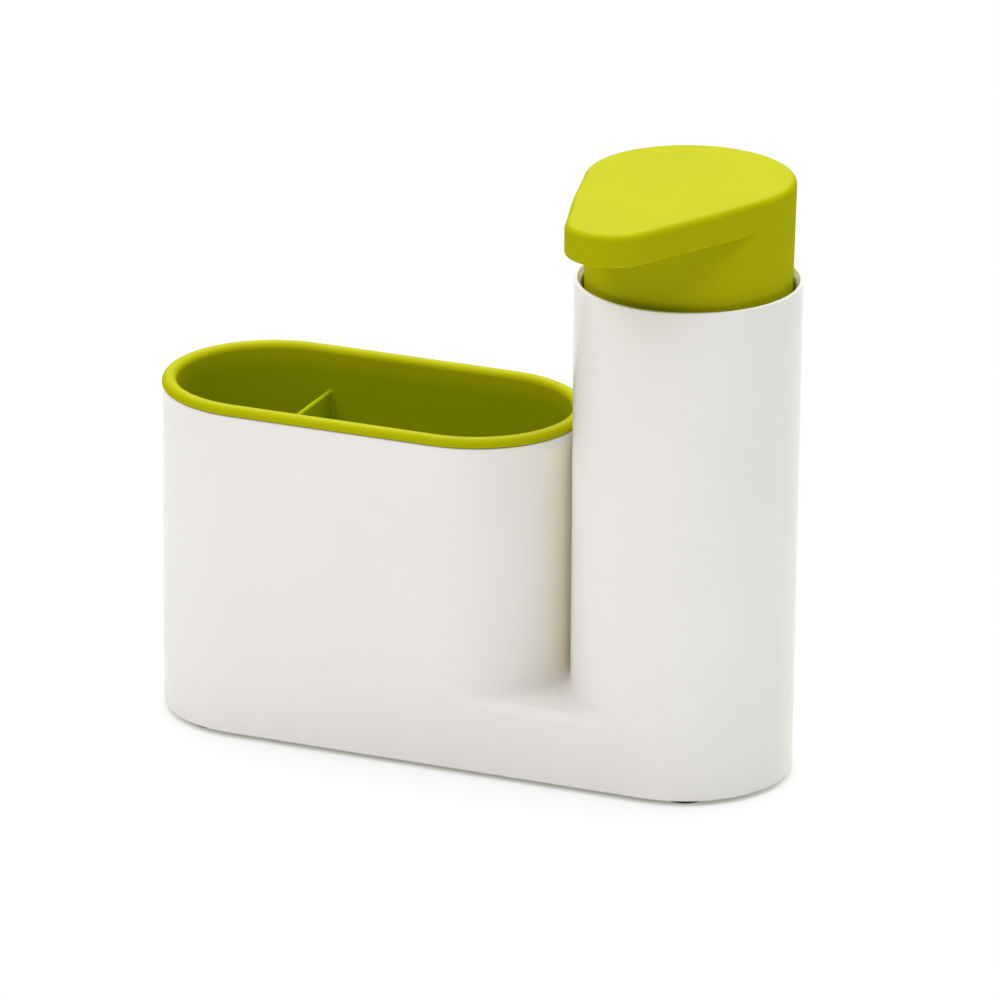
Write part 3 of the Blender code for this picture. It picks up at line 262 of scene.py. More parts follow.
class SinkCaddyPump(bpy.types.PropertyGroup):
    """Sizes of the soap bottle and the pump under the head."""

    bottle_radius: length("Bottle Radius", "Outer radius of the bottle", 0.0304)
    bottle_wall: length("Bottle Wall", "Thickness of the bottle's wall", 0.0012)
    bottle_corner: length("Bottle Corner", "Rounding at the bottle's foot", 0.0030)
    shoulder: length("Shoulder", "Height of the rounded shoulder", 0.0115)
    shoulder_blend: length("Shoulder Blend", "Where the straight wall ends below it", 0.0006)
    neck_radius: length("Neck Radius", "Outer radius of the neck", 0.0169)
    neck_height: length("Neck Height", "Height of the neck", 0.0165)
    neck_drop: length("Neck Drop", "Neck's top under the tower's rim", 0.0122)
    neck_wall: length("Neck Wall", "Thickness of the neck's wall", 0.0016)
    thread_lead: length("Thread Lead", "Rise of the thread in one turn", 0.0030)
    thread_height: length("Thread Height", "How far the thread stands out", 0.0011)
    thread_width: length("Thread Width", "Width of the thread at its root", 0.0012)
    thread_start: length("Thread Start", "Thread's start over the neck's foot", 0.0050)
    thread_clearance: length("Thread Clearance", "Gap over the thread's crest", 0.0004)
    collar_wall: length("Collar Wall", "Thickness of the collar", 0.0036)
    collar_rib: length("Collar Rib", "How far the grip ribs stand out", 0.0005)
    collar_land: length("Collar Land", "Plain band at the collar's lower end", 0.0014)
    gasket_thickness: length("Gasket Thickness", "Thickness of the neck's seal", 0.0010)
    flange_thickness: length("Flange Thickness", "Thickness of the barrel's flange", 0.0012)
    flange_setback: length("Flange Setback", "How far the flange lies inside", 0.0004)
    barrel_radius: length("Barrel Radius", "Inner radius of the pump's barrel", 0.0074)
    barrel_wall: length("Barrel Wall", "Thickness of the barrel", 0.0012)
    tail_length: length("Tail Length", "Length of the socket for the dip tube", 0.0100)
    cage_length: length("Cage Length", "From that socket up to the spring's seat", 0.0080)
    inlet_cage: length("Inlet Cage", "Radius of the room round the inlet ball", 0.0039)
    inlet_throat: length("Inlet Throat", "Height of the inlet's narrow part", 0.0010)
    inlet_cone: length("Inlet Cone", "Height of the inlet ball's seat", 0.0020)
    inlet_bore: length("Inlet Bore", "Radius of the inlet's narrow part", 0.0019)
    hub_radius: length("Hub Radius", "Radius of the stem guide's hub", 0.0106)
    hub_height: length("Hub Height", "Height of the hub over the flange", 0.0045)
    crown_radius: length("Crown Radius", "Radius of the guide's upper end", 0.0064)
    stem_radius: length("Stem Radius", "Outer radius of the stem", 0.0040)
    stem_bore: length("Stem Bore", "Radius of the stem's hole", 0.0017)
    stem_socket: length("Stem Socket", "Radius of the socket for the valve rod", 0.0026)
    socket_depth: length("Socket Depth", "Depth of that socket", 0.0127)
    outlet_cage: length("Outlet Cage", "Radius of the room round the outlet ball", 0.0029)
    outlet_depth: length("Outlet Depth", "Depth of that room", 0.0053)
    outlet_cone: length("Outlet Cone", "Height of the outlet ball's seat", 0.0012)
    slide_gap: length("Slide Gap", "Gap round stem and dip tube", 0.00015)
    piston_land: length("Piston Land", "Height of the piston's sealing bands", 0.0012)
    piston_waist: length("Piston Waist", "Depth of the piston's waist", 0.0010)
    disc_radius: length("Disc Radius", "Radius of the valve rod's disc", 0.0058)
    disc_thickness: length("Disc Thickness", "Thickness of that disc", 0.0020)
    rod_wall: length("Rod Wall", "Thickness of the valve rod's wall", 0.0010)
    spring_radius: length("Spring Radius", "Radius of the spring's coil", 0.0049)
    wire_radius: length("Wire Radius", "Radius of the spring's wire", 0.00035)
    tube_radius: length("Tube Radius", "Outer radius of the dip tube", 0.0027)
    tube_wall: length("Tube Wall", "Thickness of the dip tube", 0.0009)


class SinkCaddyFinish(bpy.types.PropertyGroup):
    """Colours and gloss of the materials, with the painted shade colours of the white and the lime.
    """

    white: colour("White", "Glossy body plastic", (0.880, 0.876, 0.838))
    # Painted shade: the white's colour deep in the slit between the columns
    slit_shade_colour: colour("Shaded White", "Body plastic deep between the columns", (0.940, 0.905, 0.790))
    # Painted shade: the white's colour on faces that look up, which dulls the shelf's top
    shelf: colour("Shelf White", "Body plastic on top of the shelf", (0.790, 0.785, 0.750))
    lime: colour("Lime", "Satin plastic of pot and head", (0.418, 0.430, 0.002))
    # Painted shade: the lime's colour on the pot's inside
    pot_shade_colour: colour("Deep Lime", "Inside of the pot", (0.310, 0.362, 0.001))
    milky: colour("Milky", "Plastic of the bottle", (0.76, 0.78, 0.75))
    natural: colour("Natural", "Plastic of the pump's inner pieces", (0.70, 0.70, 0.66))
    rubber: colour("Rubber", "Feet, a dark grey in their own shade", (0.290, 0.287, 0.262))
    seal: colour("Seal", "Gasket and piston", (0.30, 0.31, 0.32))
    steel: colour("Steel", "Spring and screws", (0.56, 0.57, 0.58))
    glass: colour("Glass", "Valve balls", (0.80, 0.90, 0.86))
    floor: colour("Floor", "Studio floor", (0.880, 0.883, 0.853))
    white_gloss: share("White Roughness", "Roughness of the white plastic", 0.20)
    lime_gloss: share("Lime Roughness", "Roughness of the lime plastic", 0.46)
    milky_gloss: share("Milky Roughness", "Roughness of the bottle", 0.34)
    natural_gloss: share("Natural Roughness", "Roughness of the inner pieces", 0.38)
    rubber_gloss: share("Rubber Roughness", "Roughness of the feet", 0.78)
    seal_gloss: share("Seal Roughness", "Roughness of gasket and piston", 0.60)
    steel_gloss: share("Steel Roughness", "Roughness of spring and screws", 0.28)
    glass_gloss: share("Glass Roughness", "Roughness of the valve balls", 0.05)
    top_coat: share("Top Coat", "Coat of the lime on faces that look up", 0.21)
    side_coat: share("Side Coat", "Coat of the lime on upright faces", 0.03)


class SinkCaddyStage(bpy.types.PropertyGroup):
    """Camera and light."""

    azimuth: angle("Azimuth", "Camera's direction round the object", 22.3234)
    elevation: angle("Elevation", "Camera's height over the horizon", 19.7031)
    roll: angle("Roll", "Camera's tilt about its own axis", 0.5221)
    distance: length("Distance", "From the camera to the object's middle", 2.7287)
    sideways: length("Sideways", "Object's middle left of the picture's middle", 0.0065935)
    upward: length("Upward", "Camera's middle under the object's middle", 0.0070897)
    middle: length("Middle", "Height that the camera looks at", 0.0800)
    lens: bpy.props.FloatProperty(
        name="Lens", description="Focal length in millimetres on a 36 mm sensor",
        default=332.388, min=1.0, unit="CAMERA",
    )
    sky: share("Sky", "Brightness of the pale studio", 0.16, 4.0)
    top_light: bpy.props.FloatProperty(
        name="Top Light", description="Power of the lamp overhead in watts",
        default=82.5, min=0.0, unit="POWER",
    )
    front_light: bpy.props.FloatProperty(
        name="Front Light", description="Power of the lamp in front in watts",
        default=10.5, min=0.0, unit="POWER",
    )
    lamp: colour("Lamp Colour", "Front lamp", (1.0, 0.90, 1.0))
    # Painted shade: a yellowish glow mixed into the floor at the line of contact, which tints that
    # shadow line
    contact: colour("Contact Colour", "White that is mixed in under the body", (1.0, 1.0, 0.86))
    least_white: share("Least White", "White mixed into the floor everywhere", 0.26)
    near_white: share("Near White", "White added past the line of contact", 0.36)
    air: colour("Sky Colour", "Studio that lights the object", (0.975, 1.0, 0.955))
    floor_size: length("Floor Size", "Half the width of the floor", 6.0)
    top_size: length("Top Size", "Width of the lamp overhead", 3.0)
    top_place: place("Top Place", "Where the lamp overhead hangs", (-0.05, 0.42, 1.9))
    front_size: length("Front Size", "Width of the lamp in front", 0.8)
    front_place: place("Front Place", "Where the front lamp stands", (-0.27, -1.55, 1.4))


def places():
    """Where the body's frame stands in the world, and the x of its three upright axes."""
    body = bpy.context.scene.sink_caddy_body
    low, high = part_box("body_shell")
    offset = body.span + 2 * body.radius + body.slit
    middle = (low.x + high.x - body.flare) / 2
    left = middle - offset / 2
    shift = np.array([0.0, (low.y + high.y) / 2, low.z])
    return shift, left, left + body.span, middle + offset / 2


def tower_rim():
    """Height of the tower's rim over the body's lower edge."""
    low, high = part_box("body_shell")
    return high.z - low.z


def levels_of(node):
    """Lowest and highest height of a CAD node in the body's own frame."""
    shift = places()[0]
    low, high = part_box(node)
    return low.z - shift[2], high.z - shift[2]


def steps_from(count):
    """Even shares from nought to one."""
    return np.linspace(0.0, 1.0, count + 1)


def eased(share_of):
    """Smooth step: three times the square less twice the cube."""
    kept = np.clip(share_of, 0.0, 1.0)
    return kept * kept * (3.0 - 2.0 * kept)


def rounded_path(corners, closed=False, steps=6):
    """A profile of (reach, height) points.

    Each corner (reach, height, rounding) becomes an arc that touches both of its legs. One point on
    each leg just outside the arc keeps the flat stretches flat.
    """
    spots = np.array([corner[:2] for corner in corners], float)
    rounds = np.array([corner[2] for corner in corners], float)
    legs = np.roll(spots, -1, axis=0) - spots
    lengths = np.linalg.norm(legs, axis=1)
    ways = legs / lengths[:, None]
    before = np.roll(ways, 1, axis=0)
    turns = np.arccos(np.clip((ways * before).sum(axis=1), -1.0, 1.0))
    cuts = rounds * np.tan(turns / 2)
    if not closed:
        cuts[[0, -1]] = 0.0
    spare = lengths - cuts - np.roll(cuts, -1)
    shares = steps_from(steps)[:, None]
    pieces = []
    for index, spot in enumerate(spots):
        cut = cuts[index]
        if cut == 0.0:
            pieces.append(spot[None])
            continue
        turn = turns[index]
        start = spot - before[index] * cut
        end = spot + ways[index] * cut
        inward = ways[index] - before[index]
        centre = spot + inward / np.linalg.norm(inward) * rounds[index] / math.cos(turn / 2)
        arc = np.sin((1 - shares) * turn) * (start - centre)
        arc = arc + np.sin(shares * turn) * (end - centre)
        hold_in = min(rounds[index] / 2, HOLD_SHARE * max(spare[index - 1], 0.0))
        hold_out = min(rounds[index] / 2, HOLD_SHARE * max(spare[index], 0.0))
        pieces.append((start - before[index] * hold_in)[None])
        pieces.append(centre + arc / math.sin(turn))
        pieces.append((end + ways[index] * hold_out)[None])
    return np.vstack(pieces)


def round_ring(x, y=0.0, steps=TURN_STEPS):
    """Centres and directions of a circle: one centre, directions at even angles."""
    angles = FULL * np.arange(steps) / steps
    ways = np.column_stack([np.cos(angles), np.sin(angles)])
    return np.broadcast_to([x, y], ways.shape), ways


def slot_ring(left, right, front):
    """Centres and directions of a slot with two round ends.

    The left end's half turn, the front's places along x, the right end's half turn, then the same
    places back along the rear. A point lies at its centre plus its direction times the reach.
    """
    angles = math.pi * steps_from(END_STEPS)
    count = len(front)
    west = np.column_stack([np.cos(QUARTER + angles), np.sin(QUARTER + angles)])
    east = -west
    down = np.tile([0.0, -1.0], (count, 1))
    ways = np.vstack([west, down, east, -down])
    across = np.concatenate([
        np.full(END_STEPS + 1, left), front, np.full(END_STEPS + 1, right), front[::-1],
    ])
    return np.column_stack([across, np.zeros(len(across))]), ways


def carried(ring, reach, height):
    """A grid of rows up a profile and columns round a ring: centre plus direction times reach."""
    centres, ways = ring
    rows = max(np.shape(reach)[0], np.shape(height)[0])
    reach = np.broadcast_to(reach, (rows, len(ways)))
    height = np.broadcast_to(height, (rows, len(ways)))
    flat = centres[None] + ways[None] * reach[..., None]
    return np.concatenate([flat, height[..., None]], axis=2)


def swept(ring, path, closed=False):
    """A profile carried round a ring."""
    return weave(carried(ring, path[:, :1], path[:, 1:]), along=closed)


def weave(grid, around=True, along=False):
    """Points and four-sided faces of a grid, closed round its columns and, if asked, its rows."""
    rows, columns = grid.shape[:2]
    index = np.arange(rows * columns).reshape(rows, columns)
    if around:
        index = np.hstack([index, index[:, :1]])
    if along:
        index = np.vstack([index, index[:1]])
    corners = [index[:-1, :-1], index[:-1, 1:], index[1:, 1:], index[1:, :-1]]
    return grid.reshape(-1, 3), np.stack(corners, axis=-1).reshape(-1, 4)


def linked(name, data):
    """A new object in the scene."""
    made = bpy.data.objects.new(name, data)
    bpy.context.scene.collection.objects.link(made)
    return made


def solid(name, patches, kind, body, *nodes):
    """Weld patches into one closed mesh, which rides on a body and stands for its CAD nodes."""
    shift = places()[0]
    counts = np.cumsum([0] + [len(points) for points, faces in patches])
    points = np.vstack([points for points, faces in patches]) + shift
    faces = np.vstack([faces + start for (spots, faces), start in zip(patches, counts)])
    mesh = bpy.data.meshes.new(name)
    mesh.from_pydata(points.tolist(), [], faces.tolist())
    bm = bmesh.new()
    bm.from_mesh(mesh)
    bmesh.ops.remove_doubles(bm, verts=bm.verts, dist=WELD)
    bmesh.ops.recalc_face_normals(bm, faces=bm.faces)
    loose = sum(not edge.is_manifold for edge in bm.edges)
    if loose:
        raise RuntimeError(f"{name} is open along {loose} edges")
    bm.to_mesh(mesh)
    bm.free()
    mesh.shade_smooth()
    mesh.set_sharp_from_angle(angle=CREASE)
    made = linked(name, mesh)
    mesh.materials.append(material_of(kind))
    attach(made, body)
    if nodes:
        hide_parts(*nodes)
    return made


def lathed(name, node, kind, body, corners, closed=True, steps=6):
    """A piece of the pump, turned about the tower's axis from the corners of its section."""
    path = rounded_path(corners, closed=closed, steps=steps)
    return solid(name, [swept(round_ring(places()[3]), path, closed=closed)], kind, body, node)


def helix_ridge(x, root, height, pump, start):
    """A screw thread whose section grows from nothing and shrinks to nothing at its ends.

    The angle runs evenly along the rows, the height rises by the lead in each turn, and the section
    is a rounded hump scaled by a smooth ramp. A negative height makes a thread that points inward.
    """
    shares = steps_from(round(THREAD_TURNS * TURN_STEPS))
    angles = FULL * THREAD_TURNS * shares
    ramp = eased(shares / THREAD_RAMP) * eased((1 - shares) / THREAD_RAMP)
    section = math.pi * steps_from(8)
    out = np.concatenate([np.sin(section) ** THREAD_CREST * height, [-SUNK * np.sign(height)]])
    up = np.concatenate([-np.cos(section) * pump.thread_width / 2, [0.0]])
    reach = root + ramp[:, None] * out[None]
    rise = start + (pump.thread_lead * THREAD_TURNS * shares)[:, None] + ramp[:, None] * up[None]
    grid = np.stack([
        x + reach * np.cos(angles)[:, None], reach * np.sin(angles)[:, None], rise,
    ], axis=2)
    return weave(grid)


def input_of(tree, target, name, value):
    """Set a socket's value, or link another node's output into it."""
    if isinstance(value, bpy.types.NodeSocket):
        tree.links.new(value, target.inputs[name])
    else:
        target.inputs[name].default_value = value


def add_node(tree, kind, inputs=(), **settings):
    """A node with its settings and its sockets filled, which are named or counted."""
    made = tree.nodes.new(kind)
    for key, value in settings.items():
        setattr(made, key, value)
    for name, value in dict(inputs).items():
        input_of(tree, made, name, value)
    return made


def object_place(tree):
    """Where a point lies in object coordinates."""
    return add_node(tree, "ShaderNodeTexCoord").outputs["Object"]


def axes(tree, vector):
    """The X, Y and Z of a vector."""
    return add_node(tree, "ShaderNodeSeparateXYZ", {"Vector": vector}).outputs


def noise(tree, where, scale, detail):
    """Fractal noise at a place."""
    made = add_node(tree, "ShaderNodeTexNoise", {"Vector": where, "Scale": scale, "Detail": detail})
    return made.outputs["Fac"]


def ranged(tree, value, low, high, start=0.0, stop=1.0, way="LINEAR"):
    """A number brought from one range to another and held within it."""
    made = add_node(tree, "ShaderNodeMapRange", {
        "Value": value, "From Min": low, "From Max": high, "To Min": start, "To Max": stop,
    }, interpolation_type=way)
    return made.outputs["Result"]


def fading(tree, value, start, stop):
    """A mask that is one up to a start and nought from a stop on, smooth between them."""
    return ranged(tree, value, start, stop, 1.0, 0.0, "SMOOTHSTEP")


def rising(tree, value, start, stop):
    """A mask that is nought up to a start and one from a stop on, smooth between them."""
    return ranged(tree, value, start, stop, 0.0, 1.0, "SMOOTHSTEP")


def combined(tree, operation, *values):
    """The number that one Math step gives."""
    made = add_node(tree, "ShaderNodeMath", enumerate(values), operation=operation)
    return made.outputs["Value"]


def vectors(tree, operation, *values):
    """The vector that one Vector Math step gives."""
    made = add_node(tree, "ShaderNodeVectorMath", enumerate(values), operation=operation)
    return made.outputs["Vector"]


def mixed(tree, mask, first, second):
    """One colour towards another by a mask."""
    made = add_node(
        tree, "ShaderNodeMix", {"Factor": mask, "A": first, "B": second}, data_type="RGBA",
    )
    return made.outputs["Result"]


def blended_shaders(tree, mask, first, second):
    """One shader towards another by a mask."""
    blend = add_node(tree, "ShaderNodeMixShader", {"Fac": mask, 1: first, 2: second})
    return blend.outputs["Shader"]


def opaque(colour_value):
    """A colour with full alpha."""
    return (*colour_value, 1.0)


def darker(base, share_of):
    """A colour scaled down."""
    return tuple(channel * share_of for channel in base)


def new_group(name, inputs, outputs):
    """An empty shader node group, the outputs of its input node, and its output node.

    An input is a name, a kind and a value, an output a name and a kind.
    """
    group = bpy.data.node_groups.new(name, "ShaderNodeTree")
    for label, kind, value in inputs:
        socket = group.interface.new_socket(name=label, in_out="INPUT", socket_type=kind)
        socket.default_value = value
    for label, kind in outputs:
        group.interface.new_socket(name=label, in_out="OUTPUT", socket_type=kind)
    return group, group.nodes.new("NodeGroupInput").outputs, group.nodes.new("NodeGroupOutput")


def moulded_group():
    """Moulded plastic: mottled colour, patchy gloss and a fine orange-peel surface."""
    found = bpy.data.node_groups.get("moulded_surface")
    if found:
        return found
    group, given, out = new_group("moulded_surface", [
        ("Colour", "NodeSocketColor", (0.8, 0.8, 0.8, 1.0)),
        ("Second Colour", "NodeSocketColor", (0.7, 0.7, 0.7, 1.0)),
        ("Patch Scale", "NodeSocketFloat", 40.0),
        ("Grain Scale", "NodeSocketFloat", 2500.0),
        ("Grain Share", "NodeSocketFloat", 0.5),
        ("Smooth", "NodeSocketFloat", 0.2),
        ("Dull", "NodeSocketFloat", 0.3),
    ], [
        ("Colour", "NodeSocketColor"),
        ("Roughness", "NodeSocketFloat"),
        ("Height", "NodeSocketFloat"),
    ])
    where = object_place(group)
    patch = noise(group, where, given["Patch Scale"], PATCH_DETAIL)
    grain = noise(group, where, given["Grain Scale"], GRAIN_DETAIL)
    tint = ranged(group, patch, *MOTTLE_RANGE)
    height = add_node(group, "ShaderNodeMix", {
        "Factor": given["Grain Share"], "A": patch, "B": grain,
    })
    results = {
        "Colour": mixed(group, tint, given["Colour"], given["Second Colour"]),
        "Roughness": ranged(group, patch, *GLOSS_RANGE, given["Smooth"], given["Dull"]),
        "Height": height.outputs["Result"],
    }
    for name, value in results.items():
        input_of(group, out, name, value)
    return group


def hairline_group():
    """Hairline marks along one direction: noise stretched many times along its grain."""
    found = bpy.data.node_groups.get("hairline_marks")
    if found:
        return found
    group, given, out = new_group("hairline_marks", [
        ("Stretch", "NodeSocketVector", (60.0, 60.0, 1500.0)),
        ("Sharpness", "NodeSocketFloat", 0.62),
    ], [("Mask", "NodeSocketFloat")])
    stretched = add_node(group, "ShaderNodeMapping", {
        "Vector": object_place(group), "Scale": given["Stretch"],
    })
    lines = noise(group, stretched.outputs["Vector"], 1.0, HAIRLINE_DETAIL)
    input_of(group, out, "Mask", ranged(group, lines, given["Sharpness"], HAIRLINE_FULL))
    return group


def folded_from(tree, middle):
    """Distances from a point along each axis, in object coordinates."""
    return vectors(tree, "ABSOLUTE", vectors(tree, "SUBTRACT", object_place(tree), middle))


def from_line(tree, left, right, y):
    """Distance on plan from the line between two axes."""
    folded = folded_from(tree, ((left + right) / 2, y, 0.0))
    past = vectors(tree, "SUBTRACT", folded, ((right - left) / 2, 0.0, 0.0))
    flat = vectors(tree, "MULTIPLY", vectors(tree, "MAXIMUM", past), (1.0, 1.0, 0.0))
    return add_node(tree, "ShaderNodeVectorMath", {0: flat}, operation="LENGTH").outputs["Value"]


def upward(tree, start, stop):
    """A mask that is one where a face looks up and nought where it is upright."""
    facing = add_node(tree, "ShaderNodeTexCoord").outputs["Normal"]
    return rising(tree, axes(tree, facing)["Z"], start, stop)


def upward_gloss(tree):
    """A coat weight that is strongest on faces that look up and faint on upright ones."""
    finish = bpy.context.scene.sink_caddy_finish
    coat = combined(tree, "MULTIPLY", upward(tree, *COAT_FACING), finish.top_coat)
    return combined(tree, "MAXIMUM", coat, finish.side_coat)


def paint_column_shade(tree, painted):
    """Paint shade onto the white: a yellowed shade colour in between the two columns, and a darker
    white on the shelf's top and other faces that look up.

    Both painted-shade masks lie under the holder's rim. One is near the slit's middle and the
    body's middle plane, the other is on faces that look up.
    """
    body = bpy.context.scene.sink_caddy_body
    finish = bpy.context.scene.sink_caddy_finish
    shift, _, holder, tower = places()
    folded = axes(tree, folded_from(tree, ((holder + tower) / 2, shift[1], shift[2])))
    low = fading(tree, folded["Z"], body.holder_rim - SHADE_TOP[0], body.holder_rim - SHADE_TOP[1])
    across = fading(tree, folded["X"], *SHADE_ACROSS)
    deep = combined(tree, "MULTIPLY", fading(tree, folded["Y"], *SHADE_ALONG), low)
    slit_shade_mask = combined(tree, "MULTIPLY", across, deep)
    # Painted shade: a darker white on faces that look up under the holder's rim, mostly the shelf's
    # top
    level = combined(tree, "MULTIPLY", upward(tree, *SHELF_SHADE_FACING), low)
    # Painted shade: a yellowed shade colour deep in the slit between the columns
    painted = mixed(tree, slit_shade_mask, painted, opaque(finish.slit_shade_colour))
    return mixed(tree, level, painted, opaque(finish.shelf))


def paint_pot_shade(tree, painted):
    """Paint shade onto the lime: a darker, greener shade colour on the pot's inside, under its lip.
    """
    body = bpy.context.scene.sink_caddy_body
    shift, left, holder, _ = places()
    away = from_line(tree, left, holder, shift[1])
    within = fading(tree, away, body.radius - POT_SHADE_IN[0], body.radius - POT_SHADE_IN[1])
    rim = body.holder_rim + shift[2]
    low = fading(tree, axes(tree, object_place(tree))["Z"], rim - POT_SHADE_DROP, rim)
    # Painted shade: darker, greener lime on the pot's inside below its lip
    mask = combined(tree, "MULTIPLY", within, low)
    return mixed(tree, mask, painted, opaque(bpy.context.scene.sink_caddy_finish.pot_shade_colour))


SURFACES = {
    # Glossy warm white: barely mottled, softly uneven gloss, painted shade between the columns and
    # on the shelf
    "white": dict(
        name="gloss_white_plastic", slot="white_plastic", second=0.975, spread=0.04, patch=26.0,
        grain=900.0, grain_share=0.35, depth=0.00002, marks=0.05, shading=paint_column_shade,
        fixed={"Specular IOR Level": 0.15},
    ),
    # Satin lime: even colour apart from painted shade inside the pot, fine matt grain, a soft gloss
    # on top
    "lime": dict(
        name="satin_lime_plastic", slot="lime_plastic", second=0.95, spread=0.05, patch=45.0,
        grain=3200.0, grain_share=0.8, depth=0.000012, marks=0.04, shading=paint_pot_shade,
        coating=upward_gloss,
        fixed={"Specular IOR Level": 0.0, "Coat Roughness": 0.35, "Coat IOR": 1.5},
    ),
    # Milky bottle plastic that lets some light through
    "milky": dict(
        name="milky_bottle_plastic", slot="bottle_plastic", second=0.94, spread=0.06, patch=60.0,
        grain=1800.0, grain_share=0.5, depth=0.00003,
        fixed={
            "Subsurface Weight": 0.25, "Subsurface Radius": (0.004, 0.004, 0.004),
            "Subsurface Scale": 1.0,
        },
    ),
    # Undyed pump plastic
    "natural": dict(
        name="natural_pump_plastic", slot="pump_plastic", second=0.93, spread=0.06, patch=140.0,
        grain=3000.0, grain_share=0.5, depth=0.00002,
        fixed={
            "Subsurface Weight": 0.15, "Subsurface Radius": (0.002, 0.002, 0.002),
            "Subsurface Scale": 1.0,
        },
    ),
    # Matt dark rubber with a coarse grain and some bloom
    "rubber": dict(
        name="dark_rubber", slot="dark_rubber", second=1.0, bloom=0.03, spread=0.08, patch=300.0,
        grain=4200.0, grain_share=0.8, depth=0.00005, fixed={"Specular IOR Level": 0.3},
    ),
    # Grey seal rubber
    "seal": dict(
        name="grey_seal_rubber", slot="seal_rubber", second=0.85, spread=0.08, patch=260.0,
        grain=4000.0, grain_share=0.7, depth=0.00003, fixed={"Specular IOR Level": 0.35},
    ),
    # Drawn steel wire and screws: fine lines that roughen and score the surface
    "steel": dict(
        name="stainless_steel", slot="stainless_steel", second=0.82, spread=0.06, patch=500.0,
        grain=6000.0, grain_share=0.6, depth=0.000006, marks=0.2, fixed={"Metallic": 1.0},
    ),
    # Clear green-tinged glass with a slightly rubbed surface
    "glass": dict(
        name="glass_ball", slot="glass_ball", second=0.96, spread=0.03, patch=700.0, grain=5000.0,
        grain_share=0.5, depth=0.000002, marks=0.08,
        fixed={"Transmission Weight": 1.0, "IOR": 1.5},
    ),
}


def material_of(kind):
    """The material of a kind of surface: the shared moulded surface with the kind's own values.

    Base colour, roughness and height vary over the surface, with hairline marks where it is
    handled. What is the same all over is set on the shader itself.
    """
    surface = SURFACES[kind]
    found = bpy.data.materials.get(surface["name"])
    if found:
        return found
    finish = bpy.context.scene.sink_caddy_finish
    base = tuple(getattr(finish, kind))
    roughness = getattr(finish, f"{kind}_gloss")
    bloom = surface.get("bloom", 0.0)
    made = bpy.data.materials.new(surface["name"])
    made.use_nodes = True
    made.diffuse_color = opaque(base)
    tree = made.node_tree
    shader = tree.nodes["Principled BSDF"]
    for label, value in surface["fixed"].items():
        shader.inputs[label].default_value = value
    moulded = add_node(tree, "ShaderNodeGroup", {
        "Colour": opaque(base),
        "Second Colour": opaque(channel + bloom for channel in darker(base, surface["second"])),
        "Patch Scale": surface["patch"], "Grain Scale": surface["grain"],
        "Grain Share": surface["grain_share"], "Smooth": roughness - surface["spread"],
        "Dull": roughness + surface["spread"],
    }, node_tree=moulded_group()).outputs
    painted = moulded["Colour"]
    # Painted shade, for the kinds that have it
    if "shading" in surface:
        painted = surface["shading"](tree, painted)
    rough = moulded["Roughness"]
    if "marks" in surface:
        lines = add_node(tree, "ShaderNodeGroup", node_tree=hairline_group()).outputs["Mask"]
        rough = combined(tree, "MULTIPLY_ADD", lines, surface["marks"], rough)
    bump = add_node(tree, "ShaderNodeBump", {
        "Height": moulded["Height"], "Strength": 1.0, "Distance": surface["depth"],
    })
    results = {"Base Color": painted, "Roughness": rough, "Normal": bump.outputs["Normal"]}
    if "coating" in surface:
        results["Coat Weight"] = surface["coating"](tree)
    for name, value in results.items():
        input_of(tree, shader, name, value)
    return made


def dress(node, kind):
    """Give a CAD node its finish."""
    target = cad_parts[node]
    if not target.material_slots:
        target.data.materials.append(material_of(kind))
    for held in target.material_slots:
        held.material = material_of(kind)


def off_edge(distance, rounding):
    """How far a rounded edge lies off its flat, at a distance from its end: radius less the leg."""
    left = np.clip(rounding - distance, 0.0, rounding)
    return rounding - np.sqrt(rounding ** 2 - left ** 2)


def shelf_row(y, body, holder, tower):
    """Places along x across the shelf at one y, and their distances from the nearer column.

    Distances from a column's wall follow the fillet's arc in even angles, then run evenly to the
    middle. The other half is the mirror image.
    """
    y = np.atleast_1d(y)[:, None]
    middle = (tower - holder) / 2
    widest = np.hypot(middle, y) - body.radius
    fillet = body.fillet
    share_of = 1.0 - SHELF_FLAT_SHARE * np.clip((widest - fillet) / fillet, 0.0, 1.0)
    along = steps_from(SHELF_STEPS)[None]
    inside = np.minimum(widest, fillet)
    swing = np.arccos(1 - inside / fillet)
    curved = fillet * (1 - np.cos(swing * np.clip(along / share_of, 0.0, 1.0)))
    rest = np.clip((along - share_of) / np.maximum(1 - share_of, LEAST), 0.0, 1.0)
    away = np.where(along <= share_of, curved, inside + (widest - inside) * rest)
    reach = np.sqrt((body.radius + away) ** 2 - y ** 2)
    x = np.hstack([holder + reach, (tower - reach)[:, -2::-1]])
    return x, np.hstack([away, away[:, -2::-1]])


def straight_places(left, right, count):
    """Places strictly between two ends, closer together near them."""
    shares = steps_from(count)[1:-1]
    return left + (right - left) * (1 - np.cos(math.pi * shares)) / 2


def edge_at(away, body):
    """Rounding of the shelf's front and back edges, which fades out towards the columns."""
    return body.edge * eased(away / body.edge_fade)


